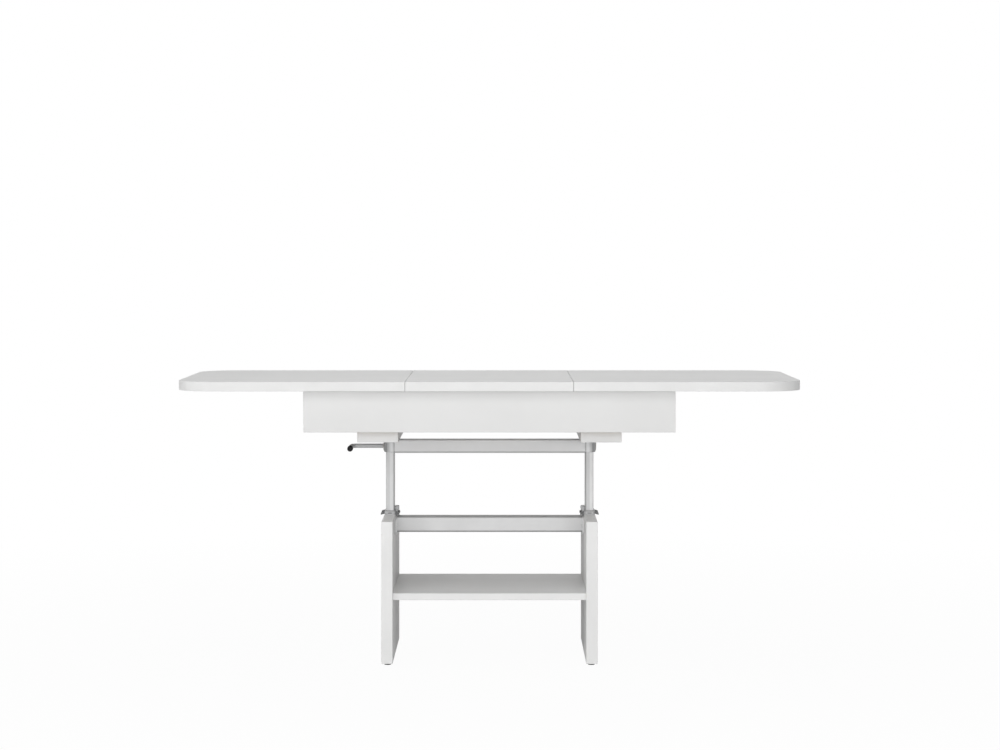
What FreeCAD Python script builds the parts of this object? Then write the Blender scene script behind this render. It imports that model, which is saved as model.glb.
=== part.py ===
import FreeCAD
import Part
import math
import os

# Coffee table with an extending top and a crank lift, shown extended and raised.
# Millimetres, +Z up, +X along the top, the user stands on the -Y side.
# The origin is on the floor under the middle of the table.

# Table top
table_height = 760.0
leaf_length = 600.0
insert_span = 440.0
top_depth = 700.0
top_thickness = 25.0
top_corner_radius = 110.0
top_edge_ease = 1.2
seam_gap = 0.8

# Apron box under the top
apron_length = 976.0
apron_inset = 50.0
apron_height = 108.0
apron_thickness = 18.0
apron_top_gap = 2.0
board_edge_ease = 1.0
cleat_width = 40.0
cleat_height = 22.0

# Battens that carry the box on the lift frame
batten_width = 108.0
batten_thickness = 28.0
batten_setback = 28.0
batten_inner_overhang = 31.0

# Tracks on the box and runners under the leaves
track_wall = 3.0
track_drop = 16.0
track_end_inset = 1.0
channel_width = 19.0
channel_height = 10.5
channel_slot = 9.4
runner_side_gap = 0.4
runner_top_gap = 0.8
runner_reach_inward = 140.0
runner_end_gap = 2.0
leaf_slack = 30.0
track_flange_height = 10.0
peg_radius = 2.5
peg_height = 4.2
peg_gap = 0.3
peg_inset = 20.0

# Legs, shelf and feet
leg_span = 512.0
leg_thickness = 30.0
leg_depth = 480.0
leg_height = 376.0
shelf_depth = 440.0
shelf_thickness = 18.0
shelf_top = 193.5
foot_height = 9.0
foot_radius = 10.0
foot_inset = 52.0

# Lift frame
column_width = 23.0
column_depth = 50.0
column_wall = 2.0
column_corner = 4.0
bar_depth = 60.0
bar_wall = 2.0
bar_corner = 7.0
upper_bar_height = 36.0
lower_bar_height = 42.0
lower_bar_drop = 7.0
plate_thickness = 3.0
plate_width = 80.0
plate_depth = 140.0
plate_corner = 8.0
plate_inset = 8.0
shaft_drop = 25.0
stop_gap = 0.5

# Column guides in the legs
pocket_side_gap = 0.5
pocket_end_gap = 4.0
pocket_floor = 52.0
collar_height = 10.0
collar_length = 88.0
collar_corner = 5.0
collar_edge_ease = 1.5
collar_gap = 0.3
collar_tongue = 30.0
ear_length = 22.0
ear_reach = 10.0
ear_drop = 6.0
ear_thickness = 5.0
shoe_height = 10.0
shoe_gap = 0.25
shoe_plug = 15.0
shoe_tube_gap = 0.35
shoe_floor_gap = 20.0
slide_gap = 0.15

# Lower crossbar brackets
bracket_thickness = 4.0
bracket_length = 92.0
bracket_below_bar = 6.0
hook_length = 30.0
hook_rise = 20.5
hook_height = 10.0
hook_reach_in = 8.0
hook_column_gap = 0.5
hook_ease = 2.0

# Mitre gears, apex where shaft and spindle axes cross
gear_teeth = 16
gear_pitch_radius = 10.0
gear_face_width = 5.0
gear_hub = 2.5
gear_hub_radius = 7.5
gear_pressure_angle = 20.0
gear_cone_angle = 45.0
gear_addendum_share = 0.8
gear_dedendum_share = 1.1
gear_tooth_share = 0.42
gear_gap = 0.8
gear_floor_gap = 0.5
gear_end_gap = 1.0

# Gear housings
housing_floor = 3.0
housing_inner_wall = 3.0
housing_outer_wall = 4.5
housing_proud = 2.0
housing_corner = 13.0
housing_edge_ease = 3.0
column_spigot = 12.0
bar_spigot = 14.0

# Shaft, spindles, bushes and nuts
shaft_radius = 4.0
spindle_radius = 6.0
running_gap = 0.05
bush_wall = 2.0
bush_flange = 1.5
bush_flange_reach = 2.5
nut_radius = 8.0
nut_height = 18.0
nut_gap = 5.0
nut_tube_wall = 1.5
nut_tube_foot = 4.0
nut_tube_foot_length = 44.0
spindle_tail = 4.0

# Crank
crank_rod_radius = 6.0
crank_bend_radius = 16.0
crank_bend_steps = 3
crank_arm = 92.0
crank_socket = 14.0
crank_end_gap = 0.5
crank_batten_gap = 23.0
crank_cap_radius = 7.0
crank_cap_length = 24.0
crank_cap_seat = 18.0
crank_cap_ease = 2.5
crank_pin_radius = 1.5

# Screws and dowels
screw_radius = 2.0
screw_head_radius = 4.2
screw_head_height = 2.4
screw_length = 18.0
screw_inset = 14.0
runner_screw_bite = 14.0
dowel_radius = 4.0
dowel_length = 30.0
dowel_board_bite = 11.0
shelf_dowel_inset = 70.0
apron_dowel_inset = 24.0

fastener_sides = 6

overrun = 1.0
parallel_share = 0.999
runner_screw_shares = (0.15, 0.8)
track_screw_shares = (-0.85, 0, 0.85)

# Levels, from the top down and from the floor up
leaf_under = table_height - top_thickness
apron_top = leaf_under - apron_top_gap
apron_bottom = apron_top - apron_height
batten_bottom = apron_bottom - batten_thickness
plate_bottom = batten_bottom - plate_thickness
shaft_z = plate_bottom - shaft_drop
upper_bar_bottom = shaft_z - upper_bar_height / 2
leg_top = foot_height + leg_height
lower_bar_top = leg_top - lower_bar_drop
lower_bar_bottom = lower_bar_top - lower_bar_height
collar_top = leg_top + collar_height
hook_top = leg_top + hook_rise
pocket_bottom = foot_height + pocket_floor
shoe_lowest = pocket_bottom + nut_tube_foot + shoe_floor_gap + shoe_height
# The lift ends where the upper bar meets the hooks, or the column shoes the collars.
bar_travel = upper_bar_bottom - hook_top - stop_gap
shoe_travel = leg_top - collar_tongue - shoe_gap - shoe_lowest
lift_travel = min(bar_travel, shoe_travel)

# Places across the table
apron_depth = top_depth - 2 * apron_inset
leg_inner_x = leg_span / 2
leg_outer_x = leg_inner_x + leg_thickness
column_x = leg_inner_x + leg_thickness / 2
column_inner_x = column_x - column_width / 2
batten_inner_x = column_x - batten_inner_overhang
batten_outer_x = batten_inner_x + batten_width
batten_end_y = apron_depth / 2 - batten_setback
apron_inner_x = apron_length / 2 - apron_thickness
apron_inner_y = apron_depth / 2 - apron_thickness

# Gear and housing places
gear_module = 2 * gear_pitch_radius / gear_teeth
gear_addendum = gear_addendum_share * gear_module
gear_dedendum = gear_dedendum_share * gear_module
gear_slope = math.cos(math.radians(gear_cone_angle))
gear_reach = gear_pitch_radius + gear_hub
gear_tip_rise = gear_addendum * gear_slope
gear_tip_share = (gear_pitch_radius + gear_tip_rise) / (gear_pitch_radius - gear_tip_rise)
gear_tip_radius = gear_tip_share * gear_pitch_radius
gear_room = gear_tip_radius + gear_gap
gear_cone_length = gear_pitch_radius / math.sin(math.radians(gear_cone_angle))
gear_inner_share = (gear_cone_length - gear_face_width) / gear_cone_length
gear_top = -gear_inner_share * gear_pitch_radius
housing_inner_x = column_x - gear_room - housing_inner_wall
housing_cavity_x = column_x + gear_reach + gear_end_gap
housing_outer_x = housing_cavity_x + housing_outer_wall
housing_half_depth = column_depth / 2 + housing_proud
housing_floor_z = shaft_z - gear_reach - gear_floor_gap
housing_bottom = housing_floor_z - housing_floor
spigot_bottom = housing_bottom - column_spigot
bush_radius = shaft_radius + bush_wall
bush_flange_radius = bush_radius + bush_flange_reach
spindle_shoulder = spigot_bottom - bush_flange

# Column, nut and pocket places
pocket_width = column_width + 2 * pocket_side_gap
pocket_depth = column_depth + 2 * pocket_end_gap
column_bottom = shoe_lowest + lift_travel
nut_top = spindle_shoulder - lift_travel - nut_gap
nut_seat = nut_top - nut_height
spindle_bottom = nut_seat - spindle_tail

# Track and runner places, measured inward from the box's inner faces
track_pitch = channel_width + track_wall
track_width = 2 * track_pitch + track_wall
track_top = leaf_under - track_drop
channel_floor = track_top - track_wall - channel_height
track_bottom = channel_floor - track_wall
leaf_inner_x = insert_span / 2
runner_start_x = leaf_inner_x - runner_reach_inward
runner_end_x = apron_inner_x - leaf_slack - runner_end_gap
runner_foot_width = channel_width - 2 * runner_side_gap
runner_foot_height = channel_height - runner_top_gap
runner_stem_width = channel_slot - 2 * runner_side_gap
peg_x = leaf_inner_x - peg_inset

# Crank places
crank_start_x = housing_outer_x + bush_flange + crank_end_gap
crank_arm_x = batten_outer_x + crank_batten_gap + crank_rod_radius
crank_bend_reach = crank_bend_radius + crank_rod_radius

vec = FreeCAD.Vector
across = vec(1, 0, 0)
back = vec(0, 1, 0)
up = vec(0, 0, 1)
middle = vec(0, 0, 0)


# Shared shapes
def box(low, high):
    return Part.makeBox(high[0] - low[0], high[1] - low[1], high[2] - low[2], vec(*low))


def edges_along(solid, direction):
    found = []
    for edge in solid.Edges:
        lean = abs(edge.tangentAt(edge.FirstParameter).dot(direction))
        if lean > parallel_share:
            found.append(edge)
    return found


def rounded_box(low, high, radius, direction):
    solid = box(low, high)
    return solid.makeFillet(radius, edges_along(solid, direction))


def chamfered_box(low, high, ease, direction):
    solid = box(low, high)
    return solid.makeChamfer(ease, edges_along(solid, direction))


def eased_board(low, high, ease):
    solid = box(low, high)
    return solid.makeChamfer(ease, solid.Edges)


def rod(start, direction, radius, length):
    return Part.makeCylinder(radius, length, start, direction)


def turned(points, place):
    # A closed profile of (radius, height) points turned about a vertical axis.
    corners = [vec(radius, 0, height) for radius, height in points]
    solid = flat_face(corners).revolve(middle, up, 360)
    solid.translate(place)
    return Part.Solid(solid.Shells[0])


def flat_face(corners):
    return Part.Face(Part.makePolygon(corners + corners[:1]))


def extruded(corners, sweep):
    return flat_face(corners).extrude(sweep)


def flat_sided(lower, upper):
    # A solid with flat sides between two rings of corners.
    faces = [flat_face(lower), flat_face(upper)]
    for number in range(len(lower)):
        after = (number + 1) % len(lower)
        faces.append(flat_face([lower[number], lower[after], upper[after], upper[number]]))
    return Part.Solid(Part.Shell(faces))


def mirrored(solid):
    return solid.mirror(middle, across)


def front_and_back(solid):
    return [solid, solid.mirror(middle, back)]


def prism(start, direction, radius, length):
    # A six-sided bar, its corners at the radius.
    corners = []
    for number in range(fastener_sides):
        angle = 2 * math.pi * number / fastener_sides
        corners.append(vec(radius * math.cos(angle), radius * math.sin(angle), 0))
    solid = extruded(corners, vec(0, 0, length))
    solid.Placement = FreeCAD.Placement(start, FreeCAD.Rotation(up, direction))
    return solid


def screw(seat, direction, length):
    # The seat is the point under the head; the shank runs along the direction.
    shank = prism(seat, direction, screw_radius, length)
    head = prism(seat, -direction, screw_head_radius, screw_head_height)
    return shank.fuse(head)


def screw_hole(seat, direction, length):
    return prism(seat, direction, screw_radius, length)


def head_room(seat, direction, length):
    return prism(seat, -direction, screw_head_radius, length)


# Table top
def leaf_board():
    solid = box(
        (leaf_inner_x, -top_depth / 2, leaf_under),
        (leaf_inner_x + leaf_length, top_depth / 2, table_height),
    )
    middle_x = leaf_inner_x + leaf_length / 2
    corners = [edge for edge in edges_along(solid, up) if edge.CenterOfMass.x > middle_x]
    solid = solid.makeFillet(top_corner_radius, corners)
    rims = [edge for edge in solid.Edges if edge.BoundBox.ZLength < top_edge_ease]
    return solid.makeChamfer(top_edge_ease, rims)


def insert_board():
    half_length = insert_span / 2 - seam_gap
    return eased_board(
        (-half_length, -top_depth / 2, leaf_under),
        (half_length, top_depth / 2, table_height),
        top_edge_ease,
    )


def channel_y(channel):
    # Middle of a front channel: number 0 is next to the apron, number 1 is further in.
    return -apron_inner_y + track_wall + channel * track_pitch + channel_width / 2


def runner_front(channel):
    y = channel_y(channel)
    foot_top = channel_floor + runner_foot_height
    half_foot = runner_foot_width / 2
    half_stem = runner_stem_width / 2
    section = [
        vec(runner_start_x, y - half_foot, channel_floor),
        vec(runner_start_x, y + half_foot, channel_floor),
        vec(runner_start_x, y + half_foot, foot_top),
        vec(runner_start_x, y + half_stem, foot_top),
        vec(runner_start_x, y + half_stem, leaf_under),
        vec(runner_start_x, y - half_stem, leaf_under),
        vec(runner_start_x, y - half_stem, foot_top),
        vec(runner_start_x, y - half_foot, foot_top),
    ]
    solid = extruded(section, vec(runner_end_x - runner_start_x, 0, 0))
    # The groove under the foot runs on the stop peg: its ends limit the travel of the leaf.
    groove_half = peg_radius + peg_gap
    groove = box(
        (peg_x - leaf_slack - groove_half, y - groove_half, channel_floor - overrun),
        (peg_x + leaf_inner_x + groove_half, y + groove_half, channel_floor + peg_height + peg_gap),
    )
    solid = solid.cut(groove)
    for seat in runner_screw_seats(channel):
        solid = solid.cut(runner_screw_space(seat))
    return solid


def runner_screw_seats(channel):
    seat_z = channel_floor + runner_foot_height / 2 + screw_head_height
    reach = runner_end_x - leaf_inner_x
    return [vec(leaf_inner_x + share * reach, channel_y(channel), seat_z) for share in runner_screw_shares]


def runner_screw_length():
    return leaf_under + runner_screw_bite - runner_screw_seats(0)[0].z


def runner_screw_space(seat):
    # The counterbore under the head and the hole for the shank.
    counterbore = head_room(seat, up, seat.z - channel_floor + overrun)
    return counterbore.fuse(screw_hole(seat, up, runner_screw_length()))


def leaf_set(channel):
    board = leaf_board()
    runners = front_and_back(runner_front(channel))
    screws = []
    for seat in runner_screw_seats(channel):
        screws += front_and_back(screw(seat, up, runner_screw_length()))
    for piece in screws:
        board = board.cut(piece)
    return board, runners, Part.makeCompound(screws)


# Apron box
def apron_panel():
    solid = eased_board(
        (-apron_length / 2, -apron_depth / 2, apron_bottom),
        (apron_length / 2, -apron_inner_y, apron_top),
        board_edge_ease,
    )
    for seat in track_screw_seats():
        solid = solid.cut(screw_hole(seat, -back, track_screw_length()))
    for pin in apron_dowels_front():
        solid = solid.cut(pin)
    return solid


def apron_end():
    solid = chamfered_box(
        (apron_inner_x, -apron_inner_y, apron_bottom),
        (apron_length / 2, apron_inner_y, apron_top),
        board_edge_ease,
        back,
    )
    for pin in apron_dowels_front():
        if pin.BoundBox.XMin > 0:
            for cutter in front_and_back(pin):
                solid = solid.cut(cutter)
    return solid


def apron_dowels_front():
    start_y = -apron_inner_y - dowel_board_bite
    pins = []
    for side in (-1, 1):
        for z in (apron_bottom + apron_dowel_inset, track_bottom - apron_dowel_inset):
            start = vec(side * (apron_length / 2 - apron_thickness / 2), start_y, z)
            pins.append(prism(start, back, dowel_radius, dowel_length))
    return pins


def apron_dowels():
    pins = []
    for pin in apron_dowels_front():
        pins += front_and_back(pin)
    return Part.makeCompound(pins)


def cleat_front():
    solid = chamfered_box(
        (-apron_inner_x, -apron_inner_y, apron_bottom),
        (apron_inner_x, -apron_inner_y + cleat_width, apron_bottom + cleat_height),
        board_edge_ease,
        across,
    )
    for seat in batten_screw_seats():
        if seat.y < 0:
            solid = solid.cut(screw_hole(seat, up, batten_screw_length()))
            solid = solid.cut(screw_hole(vec(-seat.x, seat.y, seat.z), up, batten_screw_length()))
    return solid


def track_front():
    outer_y = -apron_inner_y
    half_length = apron_inner_x - track_end_inset
    solid = box((-half_length, outer_y, track_bottom), (half_length, outer_y + track_width, track_top))
    flange = box(
        (-half_length, outer_y, track_bottom),
        (half_length, outer_y + track_wall, track_top + track_flange_height),
    )
    solid = solid.fuse(flange).removeSplitter()
    for channel in (0, 1):
        y = channel_y(channel)
        cavity = box(
            (-half_length - overrun, y - channel_width / 2, channel_floor),
            (half_length + overrun, y + channel_width / 2, channel_floor + channel_height),
        )
        slot = box(
            (-half_length - overrun, y - channel_slot / 2, channel_floor),
            (half_length + overrun, y + channel_slot / 2, track_top + overrun),
        )
        solid = solid.cut(cavity).cut(slot)
    for seat in track_screw_seats():
        solid = solid.cut(screw_hole(seat, -back, track_screw_length()))
    for foot in peg_feet():
        solid = solid.cut(track_peg(foot))
    return solid.removeSplitter()


def track_screw_length():
    return track_wall + dowel_board_bite


def track_screw_seats():
    seat_y = -apron_inner_y + track_wall
    seat_z = track_top + track_flange_height / 2
    return [vec(share * apron_inner_x, seat_y, seat_z) for share in track_screw_shares]


def track_screws():
    screws = []
    for seat in track_screw_seats():
        screws += front_and_back(screw(seat, -back, track_screw_length()))
    return Part.makeCompound(screws)


def peg_feet():
    # The left leaf runs in the channel next to the apron, the right leaf in the inner one.
    return [vec(-peg_x, channel_y(0), channel_floor), vec(peg_x, channel_y(1), channel_floor)]


def track_peg(foot):
    start = vec(foot.x, foot.y, foot.z - track_wall)
    return prism(start, up, peg_radius, track_wall + peg_height)


def track_pegs():
    pegs = []
    for foot in peg_feet():
        pegs += front_and_back(track_peg(foot))
    return Part.makeCompound(pegs)


# Battens and mount plates
def batten():
    solid = eased_board(
        (batten_inner_x, -batten_end_y, batten_bottom),
        (batten_outer_x, batten_end_y, apron_bottom),
        board_edge_ease,
    )
    for seat in batten_screw_seats():
        solid = solid.cut(batten_screw_space(seat))
    for seat in plate_screw_seats():
        solid = solid.cut(screw_hole(seat, up, screw_length))
    return solid


def batten_screw_seats():
    # The heads are sunk in the underside of the batten.
    places = []
    for x in (batten_inner_x + screw_inset, batten_outer_x - screw_inset):
        for y in (screw_inset - batten_end_y, batten_end_y - screw_inset):
            places.append(vec(x, y, batten_bottom + batten_thickness / 2))
    return places


def batten_screw_length():
    return batten_thickness / 2 + screw_length


def batten_screw_space(seat):
    counterbore = head_room(seat, up, seat.z - batten_bottom + overrun)
    return counterbore.fuse(screw_hole(seat, up, batten_screw_length()))


def batten_screws():
    screws = [screw(seat, up, batten_screw_length()) for seat in batten_screw_seats()]
    screws += [mirrored(piece) for piece in screws]
    return Part.makeCompound(screws)


def mount_plate():
    low_x = batten_inner_x + plate_inset
    solid = chamfered_box(
        (low_x, -plate_depth / 2, plate_bottom),
        (low_x + plate_width, plate_depth / 2, batten_bottom),
        plate_corner,
        up,
    )
    for seat in plate_screw_seats():
        solid = solid.cut(screw_hole(seat, up, plate_thickness))
    return solid


def plate_screw_seats():
    low_x = batten_inner_x + plate_inset
    places = []
    for x in (low_x + screw_inset, low_x + plate_width - screw_inset):
        for y in (screw_inset - plate_depth / 2, plate_depth / 2 - screw_inset):
            places.append(vec(x, y, plate_bottom))
    return places


def plate_screws():
    screws = [screw(seat, up, screw_length) for seat in plate_screw_seats()]
    screws += [mirrored(piece) for piece in screws]
    return Part.makeCompound(screws)


# Lift frame
def bar_tube(half_length, bottom, height):
    outer = rounded_box(
        (-half_length, -bar_depth / 2, bottom),
        (half_length, bar_depth / 2, bottom + height),
        bar_corner,
        across,
    )
    inner = chamfered_box(
        (-half_length - overrun, bar_wall - bar_depth / 2, bottom + bar_wall),
        (half_length + overrun, bar_depth / 2 - bar_wall, bottom + height - bar_wall),
        bar_corner - bar_wall,
        across,
    )
    return outer.cut(inner)


def column():
    outer = rounded_box(
        (column_x - column_width / 2, -column_depth / 2, column_bottom),
        (column_x + column_width / 2, column_depth / 2, housing_bottom),
        column_corner,
        up,
    )
    return outer.cut(column_core(0, column_bottom - overrun, housing_bottom + overrun))


def column_core(gap, bottom, top):
    # What fits inside the column tube with a gap all round.
    half_width = column_width / 2 - column_wall - gap
    half_depth = column_depth / 2 - column_wall - gap
    return chamfered_box(
        (column_x - half_width, -half_depth, bottom),
        (column_x + half_width, half_depth, top),
        column_corner - column_wall,
        up,
    )


def column_shoe():
    half_width = pocket_width / 2 - shoe_gap
    half_depth = pocket_depth / 2 - shoe_gap
    sole = box(
        (column_x - half_width, -half_depth, column_bottom - shoe_height),
        (column_x + half_width, half_depth, column_bottom),
    )
    plug = column_core(slide_gap, column_bottom - shoe_height / 2, column_bottom + shoe_plug)
    hole_half = nut_radius + shoe_tube_gap
    hole = box(
        (column_x - hole_half, -hole_half, column_bottom - shoe_height - overrun),
        (column_x + hole_half, hole_half, column_bottom + shoe_plug + overrun),
    )
    return sole.fuse(plug).cut(hole).removeSplitter()


def gear_housing():
    solid = box(
        (housing_inner_x, -housing_half_depth, housing_bottom),
        (housing_outer_x, housing_half_depth, plate_bottom),
    )
    outer = [edge for edge in edges_along(solid, up) if edge.CenterOfMass.x > column_x]
    solid = solid.makeFillet(housing_corner, outer)
    foot = [
        edge
        for edge in solid.Edges
        if edge.BoundBox.ZMax < housing_floor_z and edge.CenterOfMass.x > housing_inner_x + overrun
    ]
    solid = solid.makeChamfer(min(housing_edge_ease, housing_floor), foot)
    solid = solid.fuse(column_core(slide_gap, spigot_bottom, housing_bottom + housing_floor / 2))
    solid = solid.fuse(housing_bar_spigot())
    shaft_room = box(
        (housing_inner_x - bar_spigot - overrun, -gear_room, shaft_z - gear_room),
        (housing_cavity_x, gear_room, shaft_z + gear_room),
    )
    spindle_room = box(
        (column_x - gear_room, -gear_room, housing_floor_z),
        (housing_cavity_x, gear_room, plate_bottom + overrun),
    )
    solid = solid.cut(shaft_room.fuse(spindle_room))
    wall_hole = prism(vec(housing_outer_x, 0, shaft_z), -across, bush_radius, housing_outer_wall + overrun)
    floor_hole = prism(vec(column_x, 0, spigot_bottom), up, bush_radius, shaft_z - spigot_bottom)
    return solid.cut(wall_hole).cut(floor_hole).removeSplitter()


def housing_bar_spigot():
    half_depth = min(bar_depth / 2 - bar_wall - slide_gap, housing_half_depth)
    half_height = upper_bar_height / 2 - bar_wall - slide_gap
    return chamfered_box(
        (housing_inner_x - bar_spigot, -half_depth, shaft_z - half_height),
        (housing_inner_x + housing_inner_wall / 2, half_depth, shaft_z + half_height),
        bar_corner - bar_wall,
        across,
    )


def flanged_bush(seat, direction, length):
    # Six-sided outside, so that it can't turn in its hole, with the flange against the seat.
    body = prism(seat, direction, bush_radius, length)
    flange = prism(seat, -direction, bush_flange_radius, bush_flange)
    bore = rod(seat - direction * bush_flange, direction, shaft_radius + running_gap, length + bush_flange)
    return body.fuse(flange).cut(bore)


def shaft_bush():
    return flanged_bush(vec(housing_outer_x, 0, shaft_z), -across, housing_outer_wall)


def spindle_bush():
    return flanged_bush(vec(column_x, 0, spigot_bottom), up, housing_floor_z - spigot_bottom)


# Gear train
def tooth_corner(height, side):
    # A corner of the tooth on the pitch plane, seen along a line through the apex.
    half = gear_tooth_share * math.pi * gear_pitch_radius / gear_teeth
    half -= height * math.tan(math.radians(gear_pressure_angle))
    depth = gear_pitch_radius - height * gear_slope
    stretch = gear_pitch_radius / depth
    return vec((gear_pitch_radius + height * gear_slope) * stretch, side * half * stretch, -gear_pitch_radius)


def gear_outline():
    corners = []
    for number in range(gear_teeth):
        turn = FreeCAD.Rotation(up, 360 * number / gear_teeth)
        root = -gear_dedendum
        tip = gear_addendum
        for height, side in ((root, -1), (tip, -1), (tip, 1), (root, 1)):
            corners.append(turn.multVec(tooth_corner(height, side)))
    return corners


def mitre_gear(turn):
    # The apex is at the origin, the gear lies below it on the Z axis and all teeth run to the apex.
    outer = gear_outline()
    inner = [corner * gear_inner_share for corner in outer]
    crown = flat_sided(outer, inner)
    crown.rotate(middle, up, turn)
    hub_start = vec(0, 0, -gear_reach)
    hub = prism(hub_start, up, gear_hub_radius, gear_hub)
    bore = prism(hub_start, up, shaft_radius, gear_reach)
    return crown.fuse(hub).cut(bore)


def spindle_gear(side):
    # Half a tooth round, so that a gap faces the pinion.
    gear = mitre_gear(180 / gear_teeth)
    gear.translate(vec(side * column_x, 0, shaft_z))
    return gear


def pinion(side):
    # Both pinions sit on the +X side of their spindle, so the spindles turn the same way.
    gear = mitre_gear(0)
    gear.rotate(middle, back, -90)
    gear.translate(vec(side * column_x, 0, shaft_z))
    return gear


def spindle(side):
    # A round journal in the bush and a six-sided end in the gear.
    foot = vec(side * column_x, 0, spindle_bottom)
    shoulder = vec(side * column_x, 0, spindle_shoulder)
    journal_top = shaft_z - gear_reach
    solid = rod(foot, up, spindle_radius, spindle_shoulder - spindle_bottom)
    solid = solid.fuse(rod(shoulder, up, shaft_radius, journal_top - spindle_shoulder))
    drive_end = prism(shoulder, up, shaft_radius, shaft_z + gear_top - spindle_shoulder)
    return solid.fuse(drive_end).removeSplitter()


def cross_shaft():
    # Six-sided between the pinions, with round journals in the bushes and the crank.
    journal_x = housing_cavity_x - gear_end_gap
    left_end = vec(-crank_start_x - crank_socket, 0, shaft_z)
    middle_part = prism(vec(-journal_x, 0, shaft_z), across, shaft_radius, 2 * journal_x)
    left_part = rod(left_end, across, shaft_radius, -journal_x - left_end.x)
    journal_length = housing_outer_x + bush_flange - journal_x
    right_part = rod(vec(journal_x, 0, shaft_z), across, shaft_radius, journal_length)
    return middle_part.fuse(left_part).fuse(right_part).cut(crank_pin())


def crank_pin():
    pin_x = -crank_start_x - crank_socket / 2
    start = vec(pin_x, 0, shaft_z - crank_rod_radius)
    return prism(start, up, crank_pin_radius, 2 * crank_rod_radius)


def crank_bend_slice(angle):
    # A quarter of the space round the axis of the bend, from an angle onwards.
    corners = [vec(0, 0, -crank_rod_radius)]
    for turn in (angle, angle + 90):
        direction = FreeCAD.Rotation(up, turn).multVec(across)
        corners.append(corners[0] + direction * (2 * crank_bend_reach))
    return extruded(corners, vec(0, 0, 2 * crank_rod_radius))


def crank_stretch(angle, before, after):
    # A straight stretch that touches the bend's middle line at an angle round its axis.
    stretch = rod(vec(crank_bend_radius, -before, 0), back, crank_rod_radius, before + after)
    stretch.rotate(middle, up, angle)
    return stretch


def crank_rod():
    # A straight stretch from the housing, a bend of short mitred stretches and an arm towards the user.
    step = 90 / crank_bend_steps
    overlap = crank_bend_reach * math.tan(math.radians(step / 2))
    before = crank_arm_x - crank_bend_radius - crank_start_x
    pieces = []
    for number in range(crank_bend_steps):
        angle = 90 + number * step
        stretch = crank_stretch(angle, before, overlap).cut(crank_bend_slice(angle + step / 2))
        if number > 0:
            stretch = stretch.cut(crank_bend_slice(angle - step / 2 - 90))
        pieces.append(stretch)
        before = overlap
    arm_end = crank_arm - crank_cap_length + crank_cap_seat
    arm = crank_stretch(180, overlap, arm_end - crank_bend_radius)
    pieces.append(arm.cut(crank_bend_slice(180 - step / 2 - 90)))
    solid = pieces[0].fuse(pieces[1:])
    solid.translate(vec(crank_bend_radius - crank_arm_x, -crank_bend_radius, shaft_z))
    socket = rod(vec(-crank_start_x - crank_socket, 0, shaft_z), across, shaft_radius, crank_socket + overrun)
    return solid.cut(socket).cut(crank_pin()).removeSplitter()


def crank_cap():
    # A push-on cap with an eased end, open towards the rod.
    points = [
        (crank_rod_radius, 0),
        (crank_cap_radius, 0),
        (crank_cap_radius, crank_cap_length - crank_cap_ease),
        (crank_cap_radius - crank_cap_ease, crank_cap_length),
        (0, crank_cap_length),
        (0, crank_cap_seat),
        (crank_rod_radius, crank_cap_seat),
    ]
    cap = turned(points, middle)
    mouth = vec(-crank_arm_x, crank_cap_length - crank_arm, shaft_z)
    cap.Placement = FreeCAD.Placement(mouth, FreeCAD.Rotation(up, -back))
    return cap


# Base
def leg():
    solid = eased_board(
        (leg_inner_x, -leg_depth / 2, foot_height),
        (leg_outer_x, leg_depth / 2, leg_top),
        board_edge_ease,
    )
    pocket = box(
        (column_x - pocket_width / 2, -pocket_depth / 2, pocket_bottom),
        (column_x + pocket_width / 2, pocket_depth / 2, leg_top + overrun),
    )
    solid = solid.cut(pocket)
    for seat in bracket_screw_seats():
        solid = solid.cut(screw_hole(seat, across, screw_length))
    for seat in collar_screw_seats():
        solid = solid.cut(screw_hole(seat, -up, screw_length + collar_height / 2))
    for pin in shelf_dowels_right():
        solid = solid.cut(pin)
    return solid


def foot_glides():
    place = vec(column_x, foot_inset - leg_depth / 2, 0)
    feet = front_and_back(rod(place, up, foot_radius, foot_height))
    feet += [mirrored(foot) for foot in feet]
    return Part.makeCompound(feet)


def shelf():
    solid = chamfered_box(
        (-leg_inner_x, -shelf_depth / 2, shelf_top - shelf_thickness),
        (leg_inner_x, shelf_depth / 2, shelf_top),
        board_edge_ease,
        across,
    )
    for pin in shelf_dowels_right():
        solid = solid.cut(pin).cut(mirrored(pin))
    return solid


def shelf_dowels_right():
    start_x = leg_inner_x + dowel_board_bite - dowel_length
    pins = []
    for y in (shelf_dowel_inset - shelf_depth / 2, shelf_depth / 2 - shelf_dowel_inset):
        start = vec(start_x, y, shelf_top - shelf_thickness / 2)
        pins.append(prism(start, across, dowel_radius, dowel_length))
    return pins


def shelf_dowels():
    pins = shelf_dowels_right()
    return Part.makeCompound(pins + [mirrored(pin) for pin in pins])


def crossbar_bracket():
    inner_x = leg_inner_x - bracket_thickness
    plate_top = lower_bar_top
    plate = chamfered_box(
        (inner_x, -bracket_length / 2, lower_bar_bottom - bracket_below_bar),
        (leg_inner_x, bracket_length / 2, plate_top),
        plate_corner,
        across,
    )
    hook_bottom = hook_top - hook_height
    tongue = box((inner_x, -hook_length / 2, lower_bar_bottom), (leg_inner_x, hook_length / 2, hook_top))
    head = chamfered_box(
        (leg_inner_x - hook_reach_in, -hook_length / 2, hook_bottom),
        (column_inner_x - hook_column_gap, hook_length / 2, hook_top),
        hook_ease,
        back,
    )
    solid = plate.fuse(tongue).fuse(head)
    for seat in bracket_screw_seats():
        solid = solid.cut(screw_hole(seat, across, bracket_thickness))
    return solid.removeSplitter()


def bracket_screw_seats():
    y = bracket_length / 2 - screw_inset / 2
    z = (lower_bar_bottom + lower_bar_top) / 2
    return [vec(leg_inner_x - bracket_thickness, side * y, z) for side in (-1, 1)]


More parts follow.
